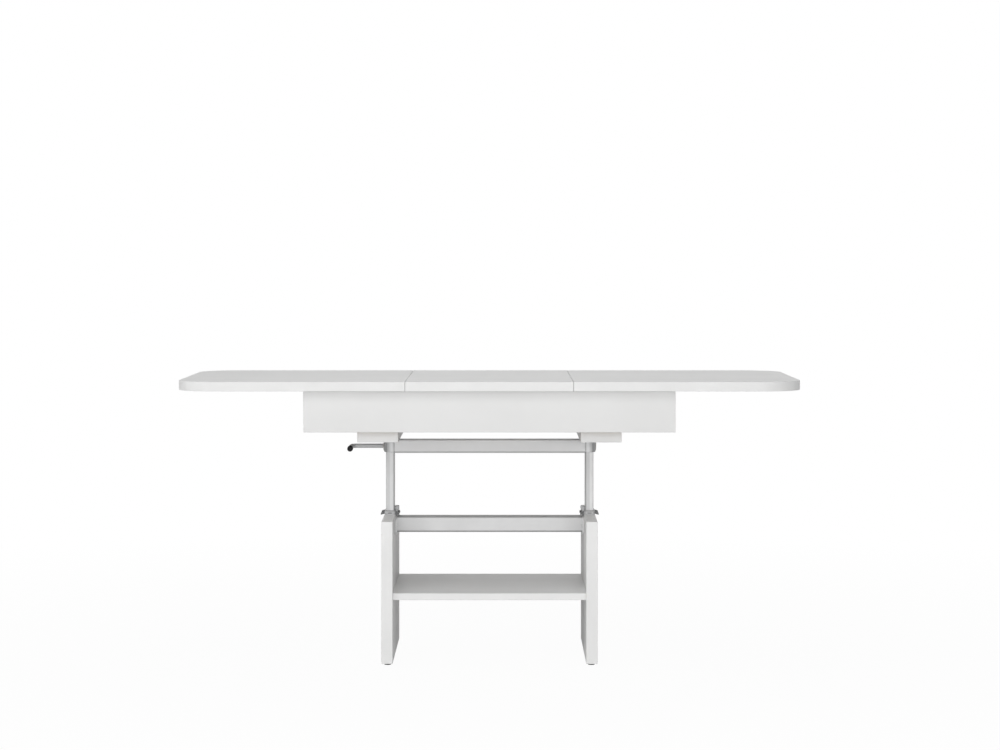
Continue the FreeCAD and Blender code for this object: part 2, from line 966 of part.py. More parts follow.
def bracket_screws():
    screws = [screw(seat, across, screw_length) for seat in bracket_screw_seats()]
    screws += [mirrored(piece) for piece in screws]
    return Part.makeCompound(screws)


def guide_collar():
    flange = chamfered_box(
        (leg_inner_x, -collar_length / 2, leg_top),
        (leg_outer_x, collar_length / 2, collar_top),
        collar_corner,
        up,
    )
    rims = [edge for edge in flange.Edges if edge.BoundBox.ZMin > collar_top - collar_edge_ease]
    solid = flange.makeChamfer(collar_edge_ease, rims)
    for ear in collar_ears():
        solid = solid.fuse(ear)
    tongue_y = column_depth / 2 + collar_gap
    tongue = box(
        (column_x - pocket_width / 2 + collar_gap, -pocket_depth / 2 + collar_gap, leg_top - collar_tongue),
        (column_x + pocket_width / 2 - collar_gap, -tongue_y, collar_top - collar_height / 2),
    )
    for piece in front_and_back(tongue):
        solid = solid.fuse(piece)
    opening = box(
        (column_x - column_width / 2 - collar_gap, -tongue_y, leg_top - overrun),
        (column_x + column_width / 2 + collar_gap, tongue_y, collar_top + overrun),
    )
    solid = solid.cut(opening)
    for seat in collar_screw_seats():
        solid = solid.cut(head_room(seat, -up, collar_height))
        solid = solid.cut(screw_hole(seat, -up, collar_height))
    return solid.removeSplitter()


def collar_ears():
    # Drooping lugs that clip over both faces of the leg, in front of and behind the column.
    ears = []
    for edge_x, way in ((leg_outer_x, 1), (leg_inner_x, -1)):
        root_x = edge_x - way * collar_corner
        tip_x = edge_x + way * ear_reach
        tip_z = collar_top - ear_drop
        start_y = -collar_length / 2 + collar_corner
        corners = [
            vec(root_x, start_y, collar_top - collar_edge_ease),
            vec(tip_x, start_y, tip_z),
            vec(tip_x, start_y, tip_z - ear_thickness),
            vec(root_x, start_y, collar_top - collar_edge_ease - ear_thickness),
        ]
        ears += front_and_back(extruded(corners, vec(0, ear_length, 0)))
    return ears


def collar_screw_seats():
    y = collar_length / 2 - collar_corner - screw_head_radius
    z = leg_top + collar_height / 2
    return [vec(column_x, -y, z), vec(column_x, y, z)]


def collar_screws():
    screws = [screw(seat, -up, screw_length + collar_height / 2) for seat in collar_screw_seats()]
    screws += [mirrored(piece) for piece in screws]
    return Part.makeCompound(screws)


def nut_tube():
    # A square tube on a foot plate, standing on the pocket's floor.
    half_width = pocket_width / 2 - pocket_side_gap
    foot = box(
        (column_x - half_width, -nut_tube_foot_length / 2, pocket_bottom),
        (column_x + half_width, nut_tube_foot_length / 2, pocket_bottom + nut_tube_foot),
    )
    tube = box(
        (column_x - nut_radius, -nut_radius, pocket_bottom),
        (column_x + nut_radius, nut_radius, nut_seat),
    )
    bore_half = nut_radius - nut_tube_wall
    bore = box(
        (column_x - bore_half, -bore_half, pocket_bottom - overrun),
        (column_x + bore_half, bore_half, nut_seat + overrun),
    )
    return foot.fuse(tube).cut(bore).removeSplitter()


def spindle_nut():
    body = prism(vec(column_x, 0, nut_seat), up, nut_radius, nut_height)
    return body.cut(rod(vec(column_x, 0, nut_seat), up, spindle_radius + running_gap, nut_height))


def lower_crossbar():
    return bar_tube(leg_inner_x - bracket_thickness, lower_bar_bottom, lower_bar_height)


def upper_crossbar():
    return bar_tube(housing_inner_x, upper_bar_bottom, upper_bar_height)


def right_and_left(name, solid):
    return {name + "_right": solid, name + "_left": mirrored(solid)}


def right_and_left_group(solid):
    return Part.makeCompound([solid, mirrored(solid)])


def top_pieces():
    pieces = {"insert_leaf": insert_board()}
    board, runners, screws = leaf_set(1)
    pieces["leaf_right"] = board
    pieces["runner_right_front"], pieces["runner_right_back"] = runners
    pieces["runner_screws_right"] = screws
    board, runners, screws = leaf_set(0)
    pieces["leaf_left"] = mirrored(board)
    pieces["runner_left_front"], pieces["runner_left_back"] = [mirrored(runner) for runner in runners]
    pieces["runner_screws_left"] = mirrored(screws)
    return pieces


def box_pieces():
    pieces = {"apron_dowels": apron_dowels(), "track_screws": track_screws(), "track_pegs": track_pegs()}
    pieces["apron_front"], pieces["apron_back"] = front_and_back(apron_panel())
    pieces["cleat_front"], pieces["cleat_back"] = front_and_back(cleat_front())
    pieces["track_front"], pieces["track_back"] = front_and_back(track_front())
    pieces.update(right_and_left("apron_end", apron_end()))
    pieces.update(right_and_left("batten", batten()))
    pieces["batten_screws"] = batten_screws()
    return pieces


def lift_pieces():
    pieces = {"upper_crossbar": upper_crossbar(), "plate_screws": plate_screws()}
    pieces.update(right_and_left("mount_plate", mount_plate()))
    pieces.update(right_and_left("gear_housing", gear_housing()))
    pieces.update(right_and_left("column", column()))
    pieces["column_shoes"] = right_and_left_group(column_shoe())
    pieces["shaft_bushes"] = right_and_left_group(shaft_bush())
    pieces["spindle_bushes"] = right_and_left_group(spindle_bush())
    return pieces


def drive_pieces():
    pieces = {"crank_rod": crank_rod(), "crank_cap": crank_cap(), "crank_pin": crank_pin()}
    pieces["cross_shaft"] = cross_shaft()
    for name, side in (("left", -1), ("right", 1)):
        pieces["pinion_" + name] = pinion(side)
        pieces["spindle_gear_" + name] = spindle_gear(side)
        pieces["spindle_" + name] = spindle(side)
    return pieces


def base_pieces():
    pieces = {"shelf": shelf(), "shelf_dowels": shelf_dowels(), "foot_glides": foot_glides()}
    pieces["lower_crossbar"] = lower_crossbar()
    pieces["bracket_screws"] = bracket_screws()
    pieces["collar_screws"] = collar_screws()
    pieces.update(right_and_left("leg", leg()))
    pieces.update(right_and_left("crossbar_bracket", crossbar_bracket()))
    pieces.update(right_and_left("guide_collar", guide_collar()))
    pieces.update(right_and_left("nut_tube", nut_tube()))
    pieces["spindle_nuts"] = right_and_left_group(spindle_nut())
    return pieces


def all_pieces():
    pieces = {}
    for group in (top_pieces(), box_pieces(), lift_pieces(), drive_pieces(), base_pieces()):
        pieces.update(group)
    return pieces


os.makedirs("parts", exist_ok=True)
for node, solid in sorted(all_pieces().items()):
    solid.exportStep("parts/" + node + ".step")
print("lift travel", lift_travel)
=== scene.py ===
import math

import bmesh
import bpy
from mathutils import Matrix, Vector


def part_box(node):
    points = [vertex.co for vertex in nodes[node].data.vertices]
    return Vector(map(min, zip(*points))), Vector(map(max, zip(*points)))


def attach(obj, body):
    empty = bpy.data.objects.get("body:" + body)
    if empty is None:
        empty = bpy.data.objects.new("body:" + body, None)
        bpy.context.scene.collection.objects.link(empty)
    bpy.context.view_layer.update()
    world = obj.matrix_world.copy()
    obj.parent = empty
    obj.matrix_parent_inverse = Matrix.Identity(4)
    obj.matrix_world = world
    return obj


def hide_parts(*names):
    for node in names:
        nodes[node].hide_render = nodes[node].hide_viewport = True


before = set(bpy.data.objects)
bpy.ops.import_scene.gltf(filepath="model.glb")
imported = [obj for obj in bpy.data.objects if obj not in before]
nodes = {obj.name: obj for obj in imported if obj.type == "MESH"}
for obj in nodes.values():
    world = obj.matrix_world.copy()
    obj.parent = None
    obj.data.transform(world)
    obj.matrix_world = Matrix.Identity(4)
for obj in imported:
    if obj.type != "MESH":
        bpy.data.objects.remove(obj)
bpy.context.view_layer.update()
scene = bpy.context.scene
print("frame loaded with", len(nodes), "nodes")

mm = 0.001
mergeDistance = 0.001 * mm
quarterTurn = 90  # degrees, as are the next angles
rimAngle = 60  # from which an edge of a block counts as a rim
flatSmooth, turnedSmooth = 32, 40  # up to which flat and turned pieces shade smoothly


# Helpers that every piece shares
def keepPiece(shape, name, body, material, nodeNames, smoothAngle=flatSmooth):
    # the finished mesh becomes a piece at the origin that rides on its body
    bmesh.ops.remove_doubles(shape, verts=shape.verts, dist=mergeDistance)
    bmesh.ops.recalc_face_normals(shape, faces=shape.faces)
    mesh = bpy.data.meshes.new(name)
    shape.to_mesh(mesh)
    shape.free()
    mesh.shade_smooth()
    mesh.set_sharp_from_angle(angle=math.radians(smoothAngle))
    piece = bpy.data.objects.new(name, mesh)
    scene.collection.objects.link(piece)
    mesh.materials.append(material)
    evenShading = piece.modifiers.new("evenShading", "WEIGHTED_NORMAL")
    evenShading.keep_sharp = True
    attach(piece, body)
    if nodeNames:
        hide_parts(*nodeNames)
    return piece


def boxShape(size, middle=(0, 0, 0)):
    # a plain box, its size and middle in metres
    shape = bmesh.new()
    bmesh.ops.create_cube(shape, size=1)
    bmesh.ops.scale(shape, vec=size, verts=shape.verts)
    bmesh.ops.translate(shape, vec=middle, verts=shape.verts)
    return shape


def turnedShape(outline, steps):
    # an outline of (radius, height) points in millimetres, spun round the upright axis
    shape = bmesh.new()
    points = [shape.verts.new((radius * mm, 0, height * mm)) for radius, height in outline]
    edges = [shape.edges.new(pair) for pair in zip(points, points[1:])]
    bmesh.ops.spin(shape, geom=points + edges, cent=(0, 0, 0), axis=(0, 0, 1), dvec=(0, 0, 0),
                   angle=math.tau, steps=steps, use_merge=True, use_normal_flip=False,
                   use_duplicate=False)
    bmesh.ops.remove_doubles(shape, verts=shape.verts, dist=mergeDistance)
    return shape


def runsAlong(edge, axis):
    first, second = edge.verts
    return abs(getattr(first.co - second.co, axis)) > mm


def sharpEdges(shape, angle):
    return [edge for edge in shape.edges if edge.calc_face_angle(0) > math.radians(angle)]


def easeEdges(shape, edges, radius, steps, clamp=False):
    # rounds edges by a radius in millimetres
    bmesh.ops.bevel(shape, geom=edges, offset=radius * mm, offset_type="OFFSET", segments=steps,
                    profile=0.5, affect="EDGES", clamp_overlap=clamp, material=-1)


def copyInto(target, source, place):
    # adds a moved copy of one mesh to another
    mesh = bpy.data.meshes.new("copy")
    source.to_mesh(mesh)
    mesh.transform(place)
    target.from_mesh(mesh)
    bpy.data.meshes.remove(mesh)


def copiesAt(source, places):
    # one mesh with a copy of the source at every place, where each place is a matrix
    shape = bmesh.new()
    for place in places:
        copyInto(shape, source, place)
    source.free()
    return shape


def movedTo(point):
    # a move to a point given in millimetres
    return Matrix.Translation(Vector(point) * mm)


def axisPlace(point, direction):
    # turns the upright axis to a direction and moves it to a point given in millimetres
    turn = Vector((0, 0, 1)).rotation_difference(Vector(direction)).to_matrix().to_4x4()
    return movedTo(point) @ turn


copyLook = {"mergeWithin": 0.01, "flatAngle": 1}


def easedCopy(nodeName, look):
    # a merged copy of a solid, its longer edges softly rounded
    shape = bmesh.new()
    shape.from_mesh(nodes[nodeName].data)
    bmesh.ops.remove_doubles(shape, verts=shape.verts, dist=look["mergeWithin"] * mm)
    bmesh.ops.dissolve_limit(shape, angle_limit=math.radians(look["flatAngle"]),
                             verts=shape.verts, edges=shape.edges)
    longEdges = [edge for edge in sharpEdges(shape, look["fromAngle"])
                 if edge.calc_length() > look["fromLength"] * mm]
    easeEdges(shape, longEdges, look["ease"], look["steps"], clamp=True)
    return shape


# Materials: small node helpers first
mixSockets = {"share": 0, "first": 6, "second": 7, "result": 2}  # colour sockets of a Mix node


def link(tree, fromSocket, toSocket):
    tree.links.new(fromSocket, toSocket)


def noiseOn(tree, vector, scale, detail):
    noise = tree.nodes.new("ShaderNodeTexNoise")
    noise.inputs["Scale"].default_value = scale
    noise.inputs["Detail"].default_value = detail
    link(tree, vector, noise.inputs["Vector"])
    return noise.outputs["Fac"]


def coordinate(tree, kind, axis):
    # one axis of the Object or Normal coordinates
    place = tree.nodes.new("ShaderNodeTexCoord")
    split = tree.nodes.new("ShaderNodeSeparateXYZ")
    link(tree, place.outputs[kind], split.inputs["Vector"])
    return split.outputs[axis]


def calculate(tree, operation, *values):
    node = tree.nodes.new("ShaderNodeMath")
    node.operation = operation
    for value, socket in zip(values, node.inputs):
        link(tree, value, socket)
    return node.outputs[0]


def spread(tree, value, fromLow, fromHigh, toLow, toHigh):
    node = tree.nodes.new("ShaderNodeMapRange")
    node.inputs["From Min"].default_value = fromLow
    node.inputs["From Max"].default_value = fromHigh
    node.inputs["To Min"].default_value = toLow
    node.inputs["To Max"].default_value = toHigh
    link(tree, value, node.inputs["Value"])
    return node.outputs["Result"]


def ramp(tree, value, stops):
    node = tree.nodes.new("ShaderNodeValToRGB")
    elements = node.color_ramp.elements
    while len(elements) < len(stops):
        elements.new(0.5)  # any place will do until the next lines
    for element, (place, colour) in zip(elements, stops):
        element.position = place
        element.color = (*colour, 1)
    link(tree, value, node.inputs["Fac"])
    return node.outputs["Color"]


def drift(tree, value, span, dark, light):
    # a colour that wanders between two tones as the value crosses its span
    return ramp(tree, value, list(zip(span, (dark, light))))


def mixColours(tree, first, second, share=None, blend="MIX"):
    # without a share the second colour counts in full
    node = tree.nodes.new("ShaderNodeMix")
    node.data_type = "RGBA"
    node.blend_type = blend
    if share is None:
        node.inputs[mixSockets["share"]].default_value = 1
    else:
        link(tree, share, node.inputs[mixSockets["share"]])
    link(tree, first, node.inputs[mixSockets["first"]])
    link(tree, second, node.inputs[mixSockets["second"]])
    return node.outputs[mixSockets["result"]]


def startMaterial(name, look):
    material = bpy.data.materials.new(name)
    material.use_nodes = True
    tree = material.node_tree
    shader = tree.nodes["Principled BSDF"]
    shader.inputs["Metallic"].default_value = look.get("metal", 0)
    shader.inputs["Specular IOR Level"].default_value = look.get("specular", 0.5)
    place = tree.nodes.new("ShaderNodeTexCoord")
    stretch = tree.nodes.new("ShaderNodeMapping")
    stretch.inputs["Scale"].default_value = look.get("stretch", (1, 1, 1))
    link(tree, place.outputs["Object"], stretch.inputs["Vector"])
    return material, tree, shader, stretch.outputs["Vector"]


def addRelief(tree, shader, height, look):
    relief = tree.nodes.new("ShaderNodeBump")
    relief.inputs["Strength"].default_value = look["relief"]
    relief.inputs["Distance"].default_value = look["reliefDepth"] * mm
    link(tree, height, relief.inputs["Height"])
    link(tree, relief.outputs["Normal"], shader.inputs["Normal"])


finishNoise = {
    "toneDetail": 4, "toneSpan": (0.32, 0.68), "glossDetail": 5, "glossSpan": (0.3, 0.7),
    "reliefDetail": 3,
}


def surfaceFinish(name, look):
    # tone drift, uneven gloss and a fine relief, all from noise at the size the finish has
    material, tree, shader, vector = startMaterial(name, look)
    tone = noiseOn(tree, vector, look["toneScale"], finishNoise["toneDetail"])
    colour = drift(tree, tone, finishNoise["toneSpan"], look["shade"], look["tone"])
    link(tree, colour, shader.inputs["Base Color"])
    gloss = noiseOn(tree, vector, look["glossScale"], finishNoise["glossDetail"])
    link(tree, spread(tree, gloss, *finishNoise["glossSpan"], *look["roughness"]),
         shader.inputs["Roughness"])
    height = noiseOn(tree, vector, look["reliefScale"], finishNoise["reliefDetail"])
    addRelief(tree, shader, height, look)
    return material


def toneOver(tree, tones, share=None):
    # multiplies the colour that the shader has so far
    shader = tree.nodes["Principled BSDF"]
    painted = shader.inputs["Base Color"].links[0].from_socket
    toned = mixColours(tree, painted, tones, share, "MULTIPLY")
    link(tree, toned, shader.inputs["Base Color"])


def tubePaintWithShading(name, look):
    # powder paint with painted shade and painted light where the tube folds away, along one axis
    # of its section; a fold shading is its tone, and where on the way from level to square the
    # change starts and ends
    material = surfaceFinish(name, look)
    tree = material.node_tree
    facing = spread(tree, coordinate(tree, "Normal", look["shadingAxis"]), -1, 1, 0, 1)
    level, plain = 0.5, (1, 1, 1)
    lowTone, lowFrom, lowTo = look["lowFoldShading"]
    highTone, highFrom, highTo = look["highFoldShading"]
    toneOver(tree, ramp(tree, facing, [
        (level - lowTo, (lowTone,) * 3), (level - lowFrom, plain),
        (level + highFrom, plain), (level + highTo, (highTone,) * 3),
    ]))
    return material


bandFade = 0.4  # millimetres over which a bounded band fades out


def paintedShadingBands(material, axis, stops, withinX=None):
    # painted light and shade: bands of tone along one axis of the table, given as (place in
    # millimetres, tone), everywhere or only as far from the middle as withinX
    tree = material.node_tree
    low, high = stops[0][0], stops[-1][0]
    along = spread(tree, coordinate(tree, "Object", axis), low * mm, high * mm, 0, 1)
    tones = ramp(tree, along,
                 [((spot - low) / (high - low), (tone,) * 3) for spot, tone in stops])
    share = None
    if withinX:
        away = calculate(tree, "ABSOLUTE", coordinate(tree, "Object", "X"))
        share = spread(tree, away, (withinX - bandFade) * mm, withinX * mm, 1, 0)
    toneOver(tree, tones, share)


def onBothSides(stops):
    return [(-spot, tone) for spot, tone in reversed(stops)] + stops


def boardLacquer(name, look):
    # satin lacquer on the wide faces, a slightly slicker band on the narrow edges
    material, tree, shader, vector = startMaterial(name, look)
    facing = calculate(tree, "ABSOLUTE", coordinate(tree, "Normal", look["faceAxis"]))
    onFace = spread(tree, facing, *look["faceSpan"], 0, 1)
    faceTone = noiseOn(tree, vector, look["toneScale"], look["toneDetail"])
    faceColour = drift(tree, faceTone, look["toneSpan"], look["shade"], look["tone"])
    bandTone = noiseOn(tree, vector, look["bandScale"], look["bandDetail"])
    bandColour = drift(tree, bandTone, look["toneSpan"], look["bandShade"], look["bandTone"])
    link(tree, mixColours(tree, bandColour, faceColour, onFace), shader.inputs["Base Color"])
    gloss = noiseOn(tree, vector, look["glossScale"], look["glossDetail"])
    bandGloss = spread(tree, gloss, *look["glossSpan"], *look["roughness"])
    faceExtra = spread(tree, onFace, 0, 1, 0, look["faceMatt"])
    link(tree, calculate(tree, "ADD", bandGloss, faceExtra), shader.inputs["Roughness"])
    addRelief(tree, shader, noiseOn(tree, vector, look["peelScale"], look["peelDetail"]), look)
    return material


def beechGrain(name, look):
    # growth rings drawn out along the piece, with short dark flecks
    material, tree, shader, vector = startMaterial(name, look)
    rings = tree.nodes.new("ShaderNodeTexWave")
    rings.inputs["Scale"].default_value = look["ringScale"]
    rings.inputs["Distortion"].default_value = look["ringWander"]
    rings.inputs["Detail"].default_value = look["ringDetail"]
    link(tree, vector, rings.inputs["Vector"])
    colour = drift(tree, rings.outputs["Fac"], look["ringSpan"], look["shade"], look["tone"])
    link(tree, colour, shader.inputs["Base Color"])
    flecks = noiseOn(tree, vector, look["fleckScale"], look["fleckDetail"])
    link(tree, spread(tree, flecks, *look["fleckSpan"], *look["roughness"]),
         shader.inputs["Roughness"])
    addRelief(tree, shader, flecks, look)
    return material


# White lacquer on the boards, one lacquer in copies whose face and edge tones are set lighter or
# darker per board, as the light falls on each: painted light and shade
lacquerLook = {
    "shade": (0.82, 0.82, 0.815), "tone": (0.85, 0.85, 0.845),
    "bandShade": (0.785, 0.785, 0.78), "bandTone": (0.82, 0.82, 0.815),
    "toneScale": 3.5, "toneDetail": 3, "toneSpan": (0.3, 0.7), "bandScale": 9, "bandDetail": 2,
    "glossScale": 30, "glossDetail": 5, "glossSpan": (0.3, 0.7), "roughness": (0.40, 0.50),
    "faceSpan": (0.5, 0.8), "faceMatt": 0.06, "specular": 0.25,
    "peelScale": 850, "peelDetail": 2, "relief": 0.3, "reliefDepth": 0.05,
}
topLacquer = boardLacquer("topLacquer", {**lacquerLook, "faceAxis": "Z"})
panelLacquer = boardLacquer("panelLacquer", {
    **lacquerLook, "faceAxis": "Y",
    "shade": (0.75, 0.75, 0.745), "tone": (0.78, 0.78, 0.775),
})
# painted shade: a darker copy of the lacquer for the battens, which lie in the shade under the
# apron
battenLacquerShaded = boardLacquer("battenLacquerShaded", {
    **lacquerLook, "faceAxis": "Z",
    "shade": (0.70, 0.70, 0.695), "tone": (0.73, 0.73, 0.725),
    "bandShade": (0.68, 0.68, 0.675), "bandTone": (0.72, 0.72, 0.715),
})
# painted shade: the inner sides of the battens darker still
paintedShadingBands(battenLacquerShaded, "X", onBothSides([(240, 0.6), (240.6, 0.6), (241.2, 1)]))
# painted light: the narrow faces, such as the leg tops and fronts, take a lighter tone than the
# wide faces
endLook = {
    **lacquerLook, "faceAxis": "X", "specular": 0.12,
    "shade": (0.795, 0.795, 0.79), "tone": (0.825, 0.825, 0.82),
    "bandShade": (0.83, 0.83, 0.825), "bandTone": (0.865, 0.865, 0.86),
}
endLacquer = boardLacquer("endLacquer", endLook)
legLacquerLitAndShaded = boardLacquer("legLacquerLitAndShaded", endLook)
# painted shade: the inner faces lighter at the front and darker towards the back
paintedShadingBands(legLacquerLitAndShaded, "Y", [(-220, 0.97), (-90, 0.94), (0, 0.77), (220, 0.74)],
          withinX=256.8)  # the inner faces only
# painted light: the leg tops lighter
paintedShadingBands(legLacquerLitAndShaded, "Z", [(383, 1), (384.6, 1), (384.9, 1.1)])
shelfLacquerLitAndShaded = boardLacquer("shelfLacquerLitAndShaded", {
    **lacquerLook, "faceAxis": "Z",
    "shade": (0.795, 0.795, 0.79), "tone": (0.825, 0.825, 0.82),
    "bandShade": (0.81, 0.81, 0.805), "bandTone": (0.845, 0.845, 0.84),
})
# painted light at the front edge and the front of the shelf top, painted shade towards the back
paintedShadingBands(shelfLacquerLitAndShaded, "Y", [(-220, 1.03), (-218.5, 1.03), (-217, 1.14), (-150, 1.1), (-60, 1),
                              (60, 0.91), (220, 0.87)])

# Powder paint on bars, columns, heads, plates and brackets, with painted light and shade on the
# bars, columns, heads and bracket plates
barLook = {
    "shade": (0.72, 0.723, 0.726), "tone": (0.77, 0.773, 0.776), "toneScale": 14,
    "glossScale": 60, "roughness": (0.4, 0.52), "specular": 0.1, "shadingAxis": "Z",
    "lowFoldShading": (0.5, 0.1, 0.32), "highFoldShading": (0.53, 0.2, 0.42),
    "relief": 0.25, "reliefDepth": 0.06, "reliefScale": 760,
}
# painted shade: the top and bottom folds darker, and the bar darker towards its ends
lowerBarPaintShaded = tubePaintWithShading("lowerBarPaintShaded", barLook)
paintedShadingBands(lowerBarPaintShaded, "X", onBothSides([(150, 1), (200, 0.98), (230, 0.96), (252, 0.93)]))
# painted light: a lighter copy of the bar paint, its top fold lighter still; painted shade: its
# bottom fold darker
upperBarPaintLitAndShaded = tubePaintWithShading("upperBarPaintLitAndShaded", {
    **barLook, "shade": (0.82, 0.823, 0.826), "tone": (0.86, 0.863, 0.866),
    "lowFoldShading": (0.72, 0.02, 0.24), "highFoldShading": (1.15, 0.05, 0.3),
})
# painted light: a lighter copy of the bar paint for the bracket plates and their screws, against
# the shade of the legs
barEndPaintLit = surfaceFinish("barEndPaintLit", {
    **barLook, "shade": (0.78, 0.783, 0.786), "tone": (0.82, 0.823, 0.826),
})
# painted shade: both folds of each column darker, the inner one much darker; painted reflection: a
# lighter band down the right part of each column
columnLook = {
    "shadingAxis": "X", "lowFoldShading": (0.9, 0.2, 0.42), "highFoldShading": (0.66, 0.02, 0.14),
    "shade": (0.67, 0.673, 0.676), "tone": (0.72, 0.723, 0.726), "toneScale": 16,
    "glossScale": 70, "roughness": (0.34, 0.44), "specular": 0.3,
    "relief": 0.2, "reliefDepth": 0.05, "reliefScale": 760,
}
leftColumnPaintLitAndShaded = tubePaintWithShading("leftColumnPaintLitAndShaded", columnLook)
paintedShadingBands(leftColumnPaintLitAndShaded, "X", [(-283, 0.93), (-273.5, 0.93), (-270.5, 1.07), (-259, 1.07)])
rightColumnPaintLitAndShaded = tubePaintWithShading("rightColumnPaintLitAndShaded", {
    **columnLook, "lowFoldShading": columnLook["highFoldShading"], "highFoldShading": columnLook["lowFoldShading"],
})
paintedShadingBands(rightColumnPaintLitAndShaded, "X", [(259, 0.94), (270.5, 0.94), (273.5, 1.13), (283, 1.13)])
headPaintShaded = surfaceFinish("headPaintShaded", {
    "shade": (0.62, 0.623, 0.626), "tone": (0.67, 0.673, 0.676), "toneScale": 30,
    "glossScale": 90, "roughness": (0.34, 0.46), "metal": 0.15, "specular": 0.35,
    "relief": 0.3, "reliefDepth": 0.06, "reliefScale": 820,
})
# painted shade: the head darker at its inner edge and towards the cover
paintedShadingBands(headPaintShaded, "X", onBothSides([(259, 0.66), (262, 0.66), (264.5, 0.93), (268, 0.95),
                                       (271, 0.86), (274.5, 0.7), (281, 0.64)]))
platePaint = surfaceFinish("platePaint", {
    "shade": (0.40, 0.405, 0.41), "tone": (0.45, 0.455, 0.46), "toneScale": 18,
    "glossScale": 80, "roughness": (0.42, 0.54), "metal": 0.1, "specular": 0.3,
    "relief": 0.25, "reliefDepth": 0.05, "reliefScale": 800,
})
bracketPaint = surfaceFinish("bracketPaint", {
    "shade": (0.33, 0.333, 0.337), "tone": (0.38, 0.383, 0.387), "toneScale": 22,
    "glossScale": 90, "roughness": (0.4, 0.52), "metal": 0.15, "specular": 0.3,
    "relief": 0.25, "reliefDepth": 0.05, "reliefScale": 800,
})

# Castings, plastics, bare metals and beech
housingCast = surfaceFinish("housingCast", {
    "shade": (0.27, 0.272, 0.275), "tone": (0.33, 0.332, 0.335), "toneScale": 40,
    "glossScale": 160, "roughness": (0.42, 0.58), "metal": 0.4,
    "relief": 0.4, "reliefDepth": 0.09, "reliefScale": 900,
})
collarPlastic = surfaceFinish("collarPlastic", {
    "shade": (0.44, 0.442, 0.445), "tone": (0.48, 0.482, 0.485), "toneScale": 25,
    "glossScale": 200, "roughness": (0.42, 0.55),
    "relief": 0.3, "reliefDepth": 0.04, "reliefScale": 1500,
})
clipRubber = surfaceFinish("clipRubber", {
    "shade": (0.10, 0.101, 0.103), "tone": (0.14, 0.141, 0.143), "toneScale": 50,
    "glossScale": 220, "roughness": (0.5, 0.65), "specular": 0.35,
    "relief": 0.3, "reliefDepth": 0.04, "reliefScale": 1400,
})
capPlastic = surfaceFinish("capPlastic", {
    "shade": (0.008, 0.008, 0.009), "tone": (0.016, 0.016, 0.017), "toneScale": 60,
    "glossScale": 300, "roughness": (0.5, 0.65), "specular": 0.15,
    "relief": 0.35, "reliefDepth": 0.05, "reliefScale": 1800,
})
footPlastic = surfaceFinish("footPlastic", {
    "shade": (0.05, 0.05, 0.052), "tone": (0.075, 0.075, 0.078), "toneScale": 60,
    "glossScale": 260, "roughness": (0.45, 0.6),
    "relief": 0.3, "reliefDepth": 0.04, "reliefScale": 1500,
})
bushNylon = surfaceFinish("bushNylon", {
    "shade": (0.66, 0.65, 0.60), "tone": (0.74, 0.73, 0.68), "toneScale": 40,
    "glossScale": 150, "roughness": (0.4, 0.52),
    "relief": 0.2, "reliefDepth": 0.03, "reliefScale": 1000,
})
crankSteel = surfaceFinish("crankSteel", {
    "shade": (0.44, 0.442, 0.447), "tone": (0.52, 0.522, 0.527), "toneScale": 60,
    "stretch": (0.15, 0.15, 1), "glossScale": 350, "roughness": (0.36, 0.5), "metal": 0.25,
    "relief": 0.2, "reliefDepth": 0.02, "reliefScale": 1400,
})
driveSteel = surfaceFinish("driveSteel", {
    "shade": (0.42, 0.41, 0.40), "tone": (0.52, 0.51, 0.50), "toneScale": 50,
    "glossScale": 240, "roughness": (0.24, 0.4), "metal": 1,
    "relief": 0.2, "reliefDepth": 0.03, "reliefScale": 900,
})
screwSteel = surfaceFinish("screwSteel", {
    "shade": (0.50, 0.49, 0.46), "tone": (0.62, 0.61, 0.58), "toneScale": 140,
    "glossScale": 300, "roughness": (0.24, 0.38), "metal": 1,
    "relief": 0.15, "reliefDepth": 0.02, "reliefScale": 1500,
})
nutBrass = surfaceFinish("nutBrass", {
    "shade": (0.55, 0.36, 0.11), "tone": (0.70, 0.50, 0.19), "toneScale": 90,
    "glossScale": 260, "roughness": (0.22, 0.36), "metal": 1,
    "relief": 0.15, "reliefDepth": 0.02, "reliefScale": 1200,
})
trackLook = {
    "shade": (0.60, 0.605, 0.61), "tone": (0.70, 0.705, 0.71), "toneScale": 90,
    "stretch": (0.04, 1, 1), "glossScale": 320, "roughness": (0.3, 0.44), "metal": 1,
    "relief": 0.25, "reliefDepth": 0.02, "reliefScale": 1600,
}
trackAluminium = surfaceFinish("trackAluminium", trackLook)
runnerAluminium = surfaceFinish("runnerAluminium", {
    **trackLook, "shade": (0.66, 0.665, 0.67), "tone": (0.76, 0.765, 0.77),
    "roughness": (0.24, 0.38),
})
plainBeech = beechGrain("plainBeech", {
    "shade": (0.50, 0.32, 0.17), "tone": (0.64, 0.44, 0.26), "stretch": (0.06, 1, 1),
    "ringScale": 26, "ringWander": 5, "ringDetail": 3, "ringSpan": (0.2, 0.8),
    "fleckScale": 320, "fleckDetail": 6, "fleckSpan": (0.3, 0.7), "roughness": (0.5, 0.66),
    "relief": 0.25, "reliefDepth": 0.08,
})

